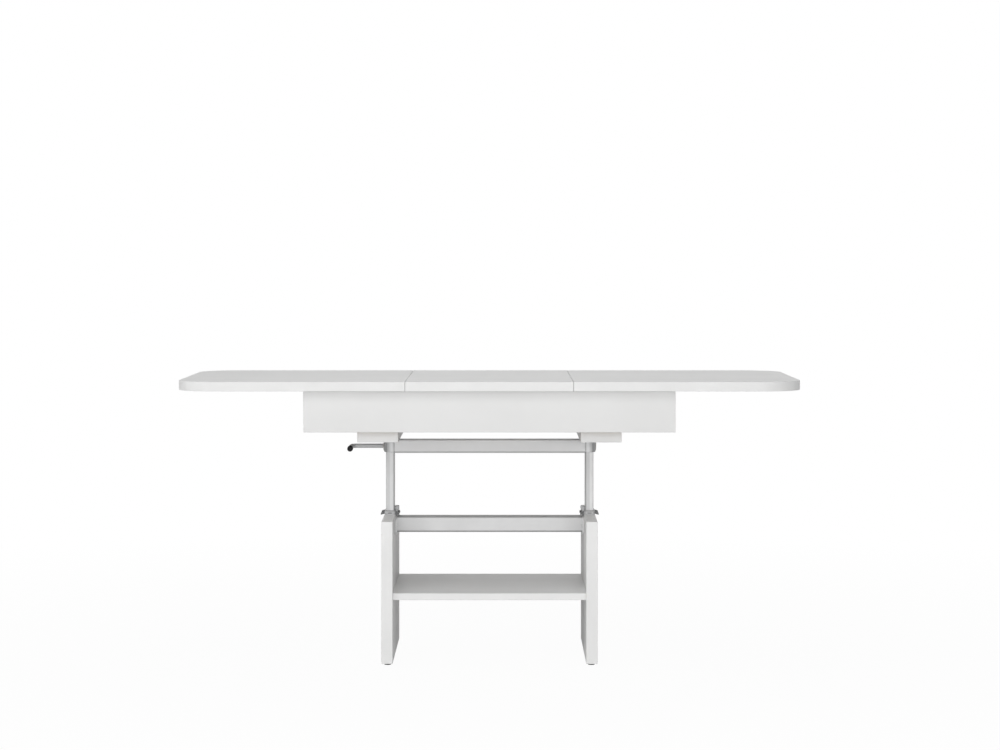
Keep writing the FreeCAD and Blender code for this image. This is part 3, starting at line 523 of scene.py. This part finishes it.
finishOfNode = {
    topLacquer: ["leaf_left", "leaf_right", "insert_leaf"],
    shelfLacquerLitAndShaded: ["shelf"],
    battenLacquerShaded: ["batten_left", "batten_right"],
    panelLacquer: ["apron_front", "apron_back"],
    endLacquer: ["apron_end_left", "apron_end_right"],
    legLacquerLitAndShaded: ["leg_left", "leg_right"],
    plainBeech: ["cleat_front", "cleat_back", "apron_dowels", "shelf_dowels"],
    upperBarPaintLitAndShaded: ["upper_crossbar"],
    lowerBarPaintShaded: ["lower_crossbar"],
    leftColumnPaintLitAndShaded: ["column_left"],
    rightColumnPaintLitAndShaded: ["column_right"],
    platePaint: ["mount_plate_left", "mount_plate_right"],
    bracketPaint: ["crossbar_bracket_left", "crossbar_bracket_right"],
    housingCast: ["gear_housing_left", "gear_housing_right"],
    collarPlastic: ["guide_collar_left", "guide_collar_right"],
    crankSteel: ["crank_rod"],
    capPlastic: ["crank_cap"],
    driveSteel: ["cross_shaft", "crank_pin", "pinion_left", "pinion_right", "spindle_gear_left",
                 "spindle_gear_right", "spindle_left", "spindle_right", "nut_tube_left",
                 "nut_tube_right", "track_pegs"],
    screwSteel: ["bracket_screws", "collar_screws", "plate_screws", "batten_screws",
                 "track_screws", "runner_screws_left", "runner_screws_right"],
    nutBrass: ["spindle_nuts"],
    bushNylon: ["shaft_bushes", "spindle_bushes", "column_shoes"],
    trackAluminium: ["track_front", "track_back"],
    runnerAluminium: ["runner_left_front", "runner_left_back", "runner_right_front",
                      "runner_right_back"],
    footPlastic: ["foot_glides"],
}
for material, names in finishOfNode.items():
    for name in names:
        for holder in nodes[name].material_slots:
            holder.material = material
print("finishes set on", sum(len(names) for names in finishOfNode.values()), "nodes")


# Table top: boards with rounded corners and softly eased edges
topLook = {"cornerRadius": 110, "cornerSteps": 28, "edgeEase": 1.2, "edgeSteps": 3}


def roundedBoard(low, high, cornerX, look):
    # the corners at cornerX are rounded first, where the board has any, then all rims
    shape = boxShape(high - low, (low + high) / 2)
    if cornerX is not None:
        corners = [edge for edge in shape.edges
                   if runsAlong(edge, "z") and abs(edge.verts[0].co.x - cornerX) < mm]
        easeEdges(shape, corners, look["cornerRadius"], look["cornerSteps"])
    easeEdges(shape, sharpEdges(shape, rimAngle), look["edgeEase"], look["edgeSteps"])
    return shape


for nodeName, pieceName, body, outerEnd in (
        ("leaf_left", "leafBoardLeft", "left_leaf", 0),
        ("leaf_right", "leafBoardRight", "right_leaf", 1),
        ("insert_leaf", "insertBoard", "insert", None)):
    low, high = (Vector(corner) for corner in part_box(nodeName))
    cornerX = None if outerEnd is None else (low.x, high.x)[outerEnd]
    board = roundedBoard(low, high, cornerX, topLook)
    keepPiece(board, pieceName, body, topLacquer, [nodeName])
print("table top made")


# Crank: one bent rod with a black push-on cap and a roll pin
crankLook = {
    "startX": -291, "armX": -377, "axisZ": 569, "radius": 6, "startEase": 0.8,
    "bendRadius": 16, "bendSteps": 14, "endY": -86, "sides": 28, "droop": 1.4,
}


def letDroop(shape, look):
    # the arm hangs a little lower than level
    bmesh.ops.rotate(shape, cent=(0, 0, look["axisZ"] * mm), verts=shape.verts,
                     matrix=Matrix.Rotation(math.radians(look["droop"]), 3, "X"))


def bentCrank(look):
    # a ring is carried along the shaft, round the bend and out to the end of the grip
    shape = bmesh.new()
    startRadius = look["radius"] - look["startEase"]
    ring = bmesh.ops.create_circle(shape, cap_ends=True, segments=look["sides"],
                                   radius=startRadius * mm)["verts"]
    bmesh.ops.rotate(shape, cent=(0, 0, 0), verts=ring,
                     matrix=Matrix.Rotation(math.radians(quarterTurn), 3, "Y"))
    bmesh.ops.translate(shape, vec=Vector((look["startX"], 0, look["axisZ"])) * mm, verts=ring)

    def extrudeRim(edges, shift, grow=None):
        # carries the open rim on, wider where that is asked for
        made = bmesh.ops.extrude_edge_only(shape, edges=edges)["geom"]
        points = [item for item in made if isinstance(item, bmesh.types.BMVert)]
        bmesh.ops.translate(shape, vec=Vector(shift) * mm, verts=points)
        if grow:
            middle = sum((point.co for point in points), Vector()) / len(points)
            bmesh.ops.scale(shape, vec=(1, grow, grow), space=Matrix.Translation(-middle),
                            verts=points)
        return [item for item in made if isinstance(item, bmesh.types.BMEdge)
                and all(point in points for point in item.verts)]

    rim = extrudeRim(shape.edges[:], (-look["startEase"], 0, 0), look["radius"] / startRadius)
    bendX = look["armX"] + look["bendRadius"]
    rim = extrudeRim(rim, (bendX - look["startX"] + look["startEase"], 0, 0))
    points = list({point for edge in rim for point in edge.verts})
    bend = bmesh.ops.spin(shape, geom=points + rim, axis=(0, 0, 1),
                          cent=Vector((bendX, -look["bendRadius"], look["axisZ"])) * mm,
                          angle=math.radians(quarterTurn), steps=look["bendSteps"],
                          use_merge=False, use_duplicate=False)
    rim = [item for item in bend["geom_last"] if isinstance(item, bmesh.types.BMEdge)]
    rim = extrudeRim(rim, (0, look["endY"] + look["bendRadius"], 0))
    bmesh.ops.holes_fill(shape, edges=rim, sides=look["sides"])
    letDroop(shape, look)
    return shape


keepPiece(bentCrank(crankLook), "crankBentRod", "crank", crankSteel, ["crank_rod"],
          turnedSmooth)

# The outline runs from the floor of the bore round the mouth and three grooves to the closed end
capLook = {
    "axisX": -377, "mouthY": -68, "axisZ": 569, "steps": 36,
    "outline": [(0, 18.1), (6.0, 18.1), (6.0, 0.5), (6.4, 0), (7.2, 0), (7.6, 0.5), (7.6, 3.2),
                (7.1, 3.6), (7.1, 4.6), (7.6, 5.0), (7.6, 7.6), (7.1, 8.0), (7.1, 9.0), (7.6, 9.4),
                (7.6, 12.0), (7.1, 12.4), (7.1, 13.4), (7.6, 13.8), (7.6, 20.6), (7.4, 21.9),
                (6.8, 23.0), (5.8, 23.7), (4.2, 23.95), (1.4, 24.0), (0, 24.0)],
}
endCap = turnedShape(capLook["outline"], capLook["steps"])
endCap.transform(axisPlace((capLook["axisX"], capLook["mouthY"], capLook["axisZ"]), (0, -1, 0)))
letDroop(endCap, crankLook)
keepPiece(endCap, "crankEndCap", "crank", capPlastic, ["crank_cap"], turnedSmooth)

rollPinLook = {
    "x": -298, "z": 569, "steps": 24,
    "outline": [(0, -5.2), (0.8, -5.2), (0.8, -6.05), (1.2, -6.05), (1.5, -5.8), (1.5, 5.8),
                (1.2, 6.05), (0.8, 6.05), (0.8, 5.2), (0, 5.2)],
}
rollPin = turnedShape(rollPinLook["outline"], rollPinLook["steps"])
rollPin.transform(movedTo((rollPinLook["x"], 0, rollPinLook["z"])))
letDroop(rollPin, crankLook)
keepPiece(rollPin, "crankRollPin", "crank", driveSteel, ["crank_pin"], turnedSmooth)
print("crank made")


# Lift spindles: a trapezoid thread wound on a turned core
spindleLook = {
    "x": 271, "bottom": 367.5, "shoulder": 539.5, "top": 562.54, "core": 4.9, "crest": 5.98,
    "journal": 3.95, "footEase": 1, "topEase": 0.6, "runOut": 3, "runOutRise": 1,
    "pitch": 5, "flank": 0.8, "crestWidth": 1.7, "sunk": 0.05, "stepsPerTurn": 24,
}


def threadedSpindle(look):
    bottom, shoulder, top = look["bottom"], look["shoulder"], look["top"]
    core, crest, journal = look["core"], look["crest"], look["journal"]
    threadStart, threadEnd = bottom + look["footEase"], shoulder - look["runOut"]
    shape = turnedShape([
        (0, bottom), (core - look["footEase"], bottom), (core, threadStart), (core, threadEnd),
        (crest, threadEnd + look["runOutRise"]), (crest, shoulder), (journal, shoulder),
        (journal, top - look["topEase"]), (journal - look["topEase"], top), (0, top),
    ], look["stepsPerTurn"])
    inside = core - look["sunk"]
    flankEnd = look["flank"] + look["crestWidth"]
    ridgeEnd = flankEnd + look["flank"]
    profile = [(inside, 0), (crest, look["flank"]), (crest, flankEnd), (inside, ridgeEnd)]
    ridge = bmesh.new()
    points = [ridge.verts.new((radius * mm, 0, (threadStart + height) * mm))
              for radius, height in profile]
    first = ridge.faces.new(points)
    turns = math.floor((threadEnd - threadStart - ridgeEnd) / look["pitch"])
    bmesh.ops.spin(ridge, geom=[first], cent=(0, 0, 0), axis=(0, 0, 1), angle=math.tau * turns,
                   dvec=(0, 0, look["pitch"] / look["stepsPerTurn"] * mm),
                   steps=turns * look["stepsPerTurn"], use_merge=False, use_duplicate=False)
    copyInto(shape, ridge, Matrix.Identity(4))
    ridge.free()
    return shape


for side, pieceName, nodeName, body in (
        (-1, "threadedSpindleLeft", "spindle_left", "left_spindle"),
        (1, "threadedSpindleRight", "spindle_right", "right_spindle")):
    spindle = threadedSpindle(spindleLook)
    bmesh.ops.translate(spindle, vec=(side * spindleLook["x"] * mm, 0, 0), verts=spindle.verts)
    keepPiece(spindle, pieceName, body, driveSteel, [nodeName], turnedSmooth)
print("spindles made")


# Gear housings: a painted head on each column, closed by a dark end cover with two screws
housingLook = {
    "innerX": 259.3, "coverX": 280.2, "outerX": 288.4, "halfDepth": 26, "bottom": 553, "top": 594,
    "cornerRadius": 13, "cornerSteps": 10, "edgeEase": 1.2, "coverEase": 3.4, "easeSteps": 4,
}


def housingBlock(look, side, cover):
    # the whole block is rounded first, then the plane of the joint keeps one part of it
    low = Vector((look["innerX"], -look["halfDepth"], look["bottom"])) * mm
    high = Vector((look["outerX"], look["halfDepth"], look["top"])) * mm
    shape = boxShape(high - low, (low + high) / 2)

    def beyondJoint(edges):
        return [edge for edge in edges
                if all(point.co.x > look["coverX"] * mm for point in edge.verts)]

    corners = [edge for edge in beyondJoint(shape.edges) if runsAlong(edge, "z")]
    easeEdges(shape, corners, look["cornerRadius"], look["cornerSteps"])
    if cover:
        outerRims = beyondJoint(sharpEdges(shape, rimAngle))
        easeEdges(shape, outerRims, look["coverEase"], look["easeSteps"])
    cut = bmesh.ops.bisect_plane(shape, geom=shape.verts[:] + shape.edges[:] + shape.faces[:],
                                 plane_co=(look["coverX"] * mm, 0, 0), plane_no=(1, 0, 0),
                                 dist=mergeDistance, clear_inner=cover, clear_outer=not cover)
    openRim = [item for item in cut["geom_cut"] if isinstance(item, bmesh.types.BMEdge)]
    bmesh.ops.holes_fill(shape, edges=openRim, sides=0)
    if not cover:
        easeEdges(shape, sharpEdges(shape, rimAngle), look["edgeEase"], look["easeSteps"])
    bmesh.ops.scale(shape, vec=(side, 1, 1), verts=shape.verts)
    return shape


for side, sideName, nodeName in (
        (-1, "Left", "gear_housing_left"), (1, "Right", "gear_housing_right")):
    for partName, material, cover in (("Head", headPaintShaded, False), ("Cover", housingCast, True)):
        keepPiece(housingBlock(housingLook, side, cover), "housing" + partName + sideName, "lift",
                  material, [nodeName])
print("gear housings made")


# Guide collars: a grey moulding with dark clips over the leg faces
collarLook = {
    **copyLook, "fromLength": 4, "fromAngle": 25, "ease": 0.4, "steps": 2,
    "clipInner": 255.9, "clipOuter": 286.1,
}
for sideName, nodeName in (("Left", "guide_collar_left"), ("Right", "guide_collar_right")):
    collar = easedCopy(nodeName, collarLook)
    for face in collar.faces:
        away = abs(face.calc_center_median().x) / mm
        onLeg = collarLook["clipInner"] <= away <= collarLook["clipOuter"]
        face.material_index = 0 if onLeg else 1
    piece = keepPiece(collar, "columnCollar" + sideName, "base", collarPlastic,
                      [nodeName])
    piece.data.materials.append(clipRubber)

collarTrimLook = {
    "outline": [(0, 1.1), (2.6, 1.0), (4.0, 0.75), (4.9, 0.3), (5.0, 0), (3.4, 0), (3.2, -2.4),
                (0, -2.4)],
    "steps": 32, "x": 271, "y": 34.8, "z": 395,
    "shadeStripSize": (11, 0.9, 2.0), "shadeStripY": 44.1, "shadeStripZ": 389.2, "shadeStripEase": 0.35, "shadeStripSteps": 2,
}


def collarTrim(look):
    # a push-in plug over each collar screw and a slim dark strip on each narrow end that stands
    # for a line of shade: painted shade
    plug = turnedShape(look["outline"], look["steps"])
    shadeStrip = boxShape(Vector(look["shadeStripSize"]) * mm)
    easeEdges(shadeStrip, shadeStrip.edges[:], look["shadeStripEase"], look["shadeStripSteps"])
    for face in shadeStrip.faces:
        face.material_index = 1
    shape = bmesh.new()
    for x in (-look["x"], look["x"]):
        for way in (-1, 1):
            copyInto(shape, plug, movedTo((x, way * look["y"], look["z"])))
            copyInto(shape, shadeStrip, movedTo((x, way * look["shadeStripY"], look["shadeStripZ"])))
    plug.free()
    shadeStrip.free()
    return shape


trim = keepPiece(collarTrim(collarTrimLook), "collarTrimSet", "base", collarPlastic,
                 [], turnedSmooth)
trim.data.materials.append(clipRubber)
print("collars made")


# Plates, lower bar and columns keep their form, with the sharp folds eased
pressedLook = {**copyLook, "fromLength": 5, "fromAngle": 40, "ease": 0.5, "steps": 2}
for nodeName, pieceName, body, material, slotName in (
        ("mount_plate_left", "mountPlateLeft", "lift", platePaint, "plate_paint"),
        ("mount_plate_right", "mountPlateRight", "lift", platePaint, "plate_paint"),
        ("lower_crossbar", "lowerBarTube", "base", lowerBarPaintShaded, "bar_paint"),
        ("column_left", "liftColumnLeft", "lift", leftColumnPaintLitAndShaded, "column_paint"),
        ("column_right", "liftColumnRight", "lift", rightColumnPaintLitAndShaded, "column_paint")):
    keepPiece(easedCopy(nodeName, pressedLook), pieceName, body, material, [nodeName])

# The crossbar brackets are plates with painted light, a lighter copy of the bar paint, and a
# darker hook that stands above the bar
hookLook = {"hookBottom": 378}
for sideName, nodeName in (("Left", "crossbar_bracket_left"), ("Right", "crossbar_bracket_right")):
    bracket = easedCopy(nodeName, pressedLook)
    for face in bracket.faces:
        isHook = face.calc_center_median().z > hookLook["hookBottom"] * mm
        face.material_index = 1 if isHook else 0
    piece = keepPiece(bracket, "hookBracket" + sideName, "base", barEndPaintLit,
                      [nodeName])
    piece.data.materials.append(bracketPaint)

# The upper bar is drawn out to the housing heads and plugged at both ends
upperBarLook = {
    "endX": 259.3, "endReach": 2, "axisZ": 569,
    "plugSize": (3, 54, 30), "plugSink": 0.4, "plugEase": 4, "plugSteps": 3,
}
upperBar = easedCopy("upper_crossbar", pressedLook)
barEnd = max(point.co.x for point in upperBar.verts)
for way in (-1, 1):
    endPoints = [point for point in upperBar.verts
                 if way * point.co.x > barEnd - upperBarLook["endReach"] * mm]
    bmesh.ops.translate(upperBar, vec=(way * (upperBarLook["endX"] * mm - barEnd), 0, 0),
                        verts=endPoints)
keepPiece(upperBar, "upperBarTube", "lift", upperBarPaintLitAndShaded, ["upper_crossbar"])

barPlug = boxShape(Vector(upperBarLook["plugSize"]) * mm)
easeEdges(barPlug, [edge for edge in barPlug.edges if runsAlong(edge, "x")],
          upperBarLook["plugEase"], upperBarLook["plugSteps"])
plugX = upperBarLook["endX"] - upperBarLook["plugSize"][0] / 2 - upperBarLook["plugSink"]
barPlugs = copiesAt(barPlug, [movedTo((way * plugX, 0, upperBarLook["axisZ"])) for way in (-1, 1)])
keepPiece(barPlugs, "upperBarPlugSet", "lift", upperBarPaintLitAndShaded, [])
print("bars, columns and brackets made")


# Foot glides: a moulded disc with an eased rim and a stepped sole
footLook = {
    "outline": [(0, 0), (8.4, 0), (8.9, 0.4), (8.9, 2.0), (9.3, 2.2), (9.8, 2.8), (10, 3.6),
                (10, 7.6), (9.7, 8.5), (9.0, 9.0), (0, 9.0)],
    "steps": 36, "places": [(x, y, 0) for x in (-271, 271) for y in (-188, 188)],
}
oneFoot = turnedShape(footLook["outline"], footLook["steps"])
feet = copiesAt(oneFoot, [movedTo(place) for place in footLook["places"]])
keepPiece(feet, "footGlideSet", "base", footPlastic, ["foot_glides"], turnedSmooth)
print("feet made")


# Screws: pan heads with a cross recess
screwLook = {
    "outline": [(0, 2.4), (0.7, 2.4), (1.5, 2.35), (2.3, 2.2), (3.2, 1.75), (3.9, 1.0), (4.2, 0.2),
                (4.1, 0), (2, 0)],
    "steps": 32, "shank": 2, "tip": 3, "crossFrom": 1.5, "crossReach": 2.4, "crossHub": 0.8,
    "crossHalfTurn": 15, "crossDepth": 1.3, "crossTaper": 0.7,
}


def panScrew(look, length):
    # the seat is at the origin and the shank runs down
    shape = turnedShape(look["outline"] + [(look["shank"], look["tip"] - length), (0, -length)],
                        look["steps"])
    recess = []
    for face in shape.faces:
        middle = face.calc_center_median() / mm
        reach = math.hypot(middle.x, middle.y)
        if middle.z < look["crossFrom"] or reach > look["crossReach"]:
            continue
        turn = math.degrees(math.atan2(middle.y, middle.x)) % quarterTurn
        fromArm = min(turn, quarterTurn - turn)
        if reach < look["crossHub"] or fromArm < look["crossHalfTurn"]:
            recess.append(face)
    sunk = bmesh.ops.extrude_face_region(shape, geom=recess)["geom"]
    points = [item for item in sunk if isinstance(item, bmesh.types.BMVert)]
    bmesh.ops.delete(shape, geom=[face for face in recess if face.is_valid], context="FACES")
    bmesh.ops.translate(shape, vec=(0, 0, -look["crossDepth"] * mm), verts=points)
    bmesh.ops.scale(shape, vec=(look["crossTaper"], look["crossTaper"], 1), verts=points)
    return shape


# Every seat is a point under the head and the way the head faces
screwSets = {
    "bracketScrewSet": {
        # the screws take the plates' paint with its painted light
        "node": ["bracket_screws"], "body": "base", "length": 18, "paint": barEndPaintLit,
        "seats": [((side * 252, y, 357), (-side, 0, 0)) for side in (-1, 1) for y in (-39, 39)]},
    "plateScrewSet": {
        "node": ["plate_screws"], "body": "lift", "length": 18,
        "seats": [((x, y, 594), (0, 0, -1)) for x in (-314, -262, 262, 314) for y in (-56, 56)]},
    "battenScrewSet": {
        "node": ["batten_screws"], "body": "lift", "length": 32,
        "seats": [((x, y, 611), (0, 0, -1)) for x in (-334, -254, 254, 334) for y in (-258, 258)]},
    "collarScrewSet": {
        "node": ["collar_screws"], "body": "base", "length": 23,
        "seats": [((x, y, 390), (0, 0, 1)) for x in (-271, 271) for y in (-34.8, 34.8)]},
    "trackScrewSet": {
        "node": ["track_screws"], "body": "lift", "length": 14,
        "seats": [((x, way * 279, 724), (0, -way, 0))
                  for x in (-399.5, 0, 399.5) for way in (-1, 1)]},
    "coverScrewSet": {
        "node": [], "body": "lift", "length": 8, "size": 0.6,
        "seats": [((side * housingLook["outerX"], y, z), (side, 0, 0))
                  for side in (-1, 1) for y, z in ((-12, 560), (12, 582))]},
}
for pieceName, look in screwSets.items():
    size = Matrix.Scale(look.get("size", 1), 4)
    screws = copiesAt(panScrew(screwLook, look["length"]),
                      [axisPlace(seat, headWay) @ size for seat, headWay in look["seats"]])
    keepPiece(screws, pieceName, look["body"], look.get("paint", screwSteel),
              look["node"], turnedSmooth)
print("screws made")


# Floor, light and camera
pureWhite = (1, 1, 1, 1)


def seenRays(tree):
    # camera, mirror and see-through rays all meet the white background
    rays = tree.nodes.new("ShaderNodeLightPath")
    seen = rays.outputs["Is Camera Ray"]
    for kind in ("Is Glossy Ray", "Is Transmission Ray"):
        seen = calculate(tree, "MAXIMUM", seen, rays.outputs[kind])
    return seen


def blendShaders(tree, share, first, second, output):
    blend = tree.nodes.new("ShaderNodeMixShader")
    for socket, place in zip((share, first.outputs[0], second.outputs[0]), blend.inputs):
        link(tree, socket, place)
    link(tree, blend.outputs[0], output.inputs["Surface"])


def studioFloor(look):
    # plain paper that shows almost white near the table and wholly white further away
    shape = bmesh.new()
    bmesh.ops.create_grid(shape, x_segments=1, y_segments=1, size=look["size"])
    bmesh.ops.translate(shape, vec=(0, 0, look["height"]), verts=shape.verts)
    mesh = bpy.data.meshes.new("studioFloor")
    shape.to_mesh(mesh)
    shape.free()
    material = bpy.data.materials.new("paperFloor")
    material.use_nodes = True
    tree = material.node_tree
    tree.nodes.clear()
    output = tree.nodes.new("ShaderNodeOutputMaterial")
    paper = tree.nodes.new("ShaderNodeBsdfDiffuse")
    paper.inputs["Color"].default_value = (*look["colour"], 1)
    glow = tree.nodes.new("ShaderNodeEmission")
    glow.inputs["Strength"].default_value = look["white"]
    place = tree.nodes.new("ShaderNodeTexCoord")
    away = tree.nodes.new("ShaderNodeVectorMath")
    away.operation = "LENGTH"
    link(tree, place.outputs["Object"], away.inputs[0])
    fade = spread(tree, away.outputs["Value"], *look["fade"], look["whiteShare"], 1)
    share = calculate(tree, "MULTIPLY", seenRays(tree), fade)
    blendShaders(tree, share, paper, glow, output)
    mesh.materials.append(material)
    floor = bpy.data.objects.new("studioFloor", mesh)
    scene.collection.objects.link(floor)


def studioWorld(look):
    world = bpy.data.worlds.new("studioWorld")
    scene.world = world
    world.use_nodes = True
    tree = world.node_tree
    tree.nodes.clear()
    output = tree.nodes.new("ShaderNodeOutputWorld")
    room = tree.nodes.new("ShaderNodeBackground")
    room.inputs["Color"].default_value = pureWhite
    room.inputs["Strength"].default_value = look["room"]
    white = tree.nodes.new("ShaderNodeBackground")
    white.inputs["Color"].default_value = pureWhite
    white.inputs["Strength"].default_value = look["white"]
    blendShaders(tree, seenRays(tree), room, white, output)


def softBox(name, look):
    lamp = bpy.data.lights.new(name, "AREA")
    lamp.shape = "RECTANGLE"
    lamp.size, lamp.size_y = look["size"]
    lamp.energy = look["watts"]
    holder = bpy.data.objects.new(name, lamp)
    holder.location = look["place"]
    aim = Vector(look["aim"]) - Vector(look["place"])
    holder.rotation_euler = aim.to_track_quat("-Z", "Y").to_euler()
    holder.visible_glossy = look.get("mirrored", True)
    scene.collection.objects.link(holder)


studioFloor({
    "size": 40, "height": -0.0004, "colour": (0.76, 0.76, 0.76), "white": 1, "whiteShare": 0.965,
    "fade": (0.9, 3.2),
})
studioWorld({"room": 0.27, "white": 1})
softBoxes = {
    "keyBox": {"place": (-1.5, -4.9, 2.2), "aim": (0, 0, 0.4), "size": (5.0, 3.0), "watts": 101},
    "fillBox": {"place": (0.8, -5.8, 0.8), "aim": (0, 0, 0.4), "size": (3.0, 1.1), "watts": 88},
    "topBox": {"place": (0, 0.2, 3.4), "aim": (0, 0, 0.7), "size": (3.2, 2.4), "watts": 16},
    "backBox": {"place": (0.8, 4.6, 3.6), "aim": (0, 0, 0.5), "size": (4.0, 2.6), "watts": 18},
    "rearBox": {"place": (0, 5.6, 0.1), "aim": (0, 0, 0.5), "size": (0.8, 0.16), "watts": 58,
                "mirrored": False},
    "rightBox": {"place": (4.6, 0.3, 0.7), "aim": (0, 0, 0.5), "size": (1.6, 1.0), "watts": 8},
    "sideBox": {"place": (-4.6, -0.6, 1.3), "aim": (0, 0, 0.5), "size": (2.4, 2.0), "watts": 28},
}
for name, look in softBoxes.items():
    softBox(name, look)

cameraLook = {
    "place": (0.0279, -7.386, 1.0941), "tilt": 90, "lens": 97.34, "sensor": 36, "drop": -0.1215,
    "farEnd": 200,
}
lens = bpy.data.cameras.new("photoCamera")
lens.lens = cameraLook["lens"]
lens.sensor_width = cameraLook["sensor"]
lens.shift_y = cameraLook["drop"]
lens.clip_end = cameraLook["farEnd"]
camera = bpy.data.objects.new("photoCamera", lens)
camera.location = cameraLook["place"]
camera.rotation_euler = (math.radians(cameraLook["tilt"]), 0, 0)
scene.collection.objects.link(camera)
scene.camera = camera
scene.view_settings.view_transform = "Standard"
print("floor, light and camera set")
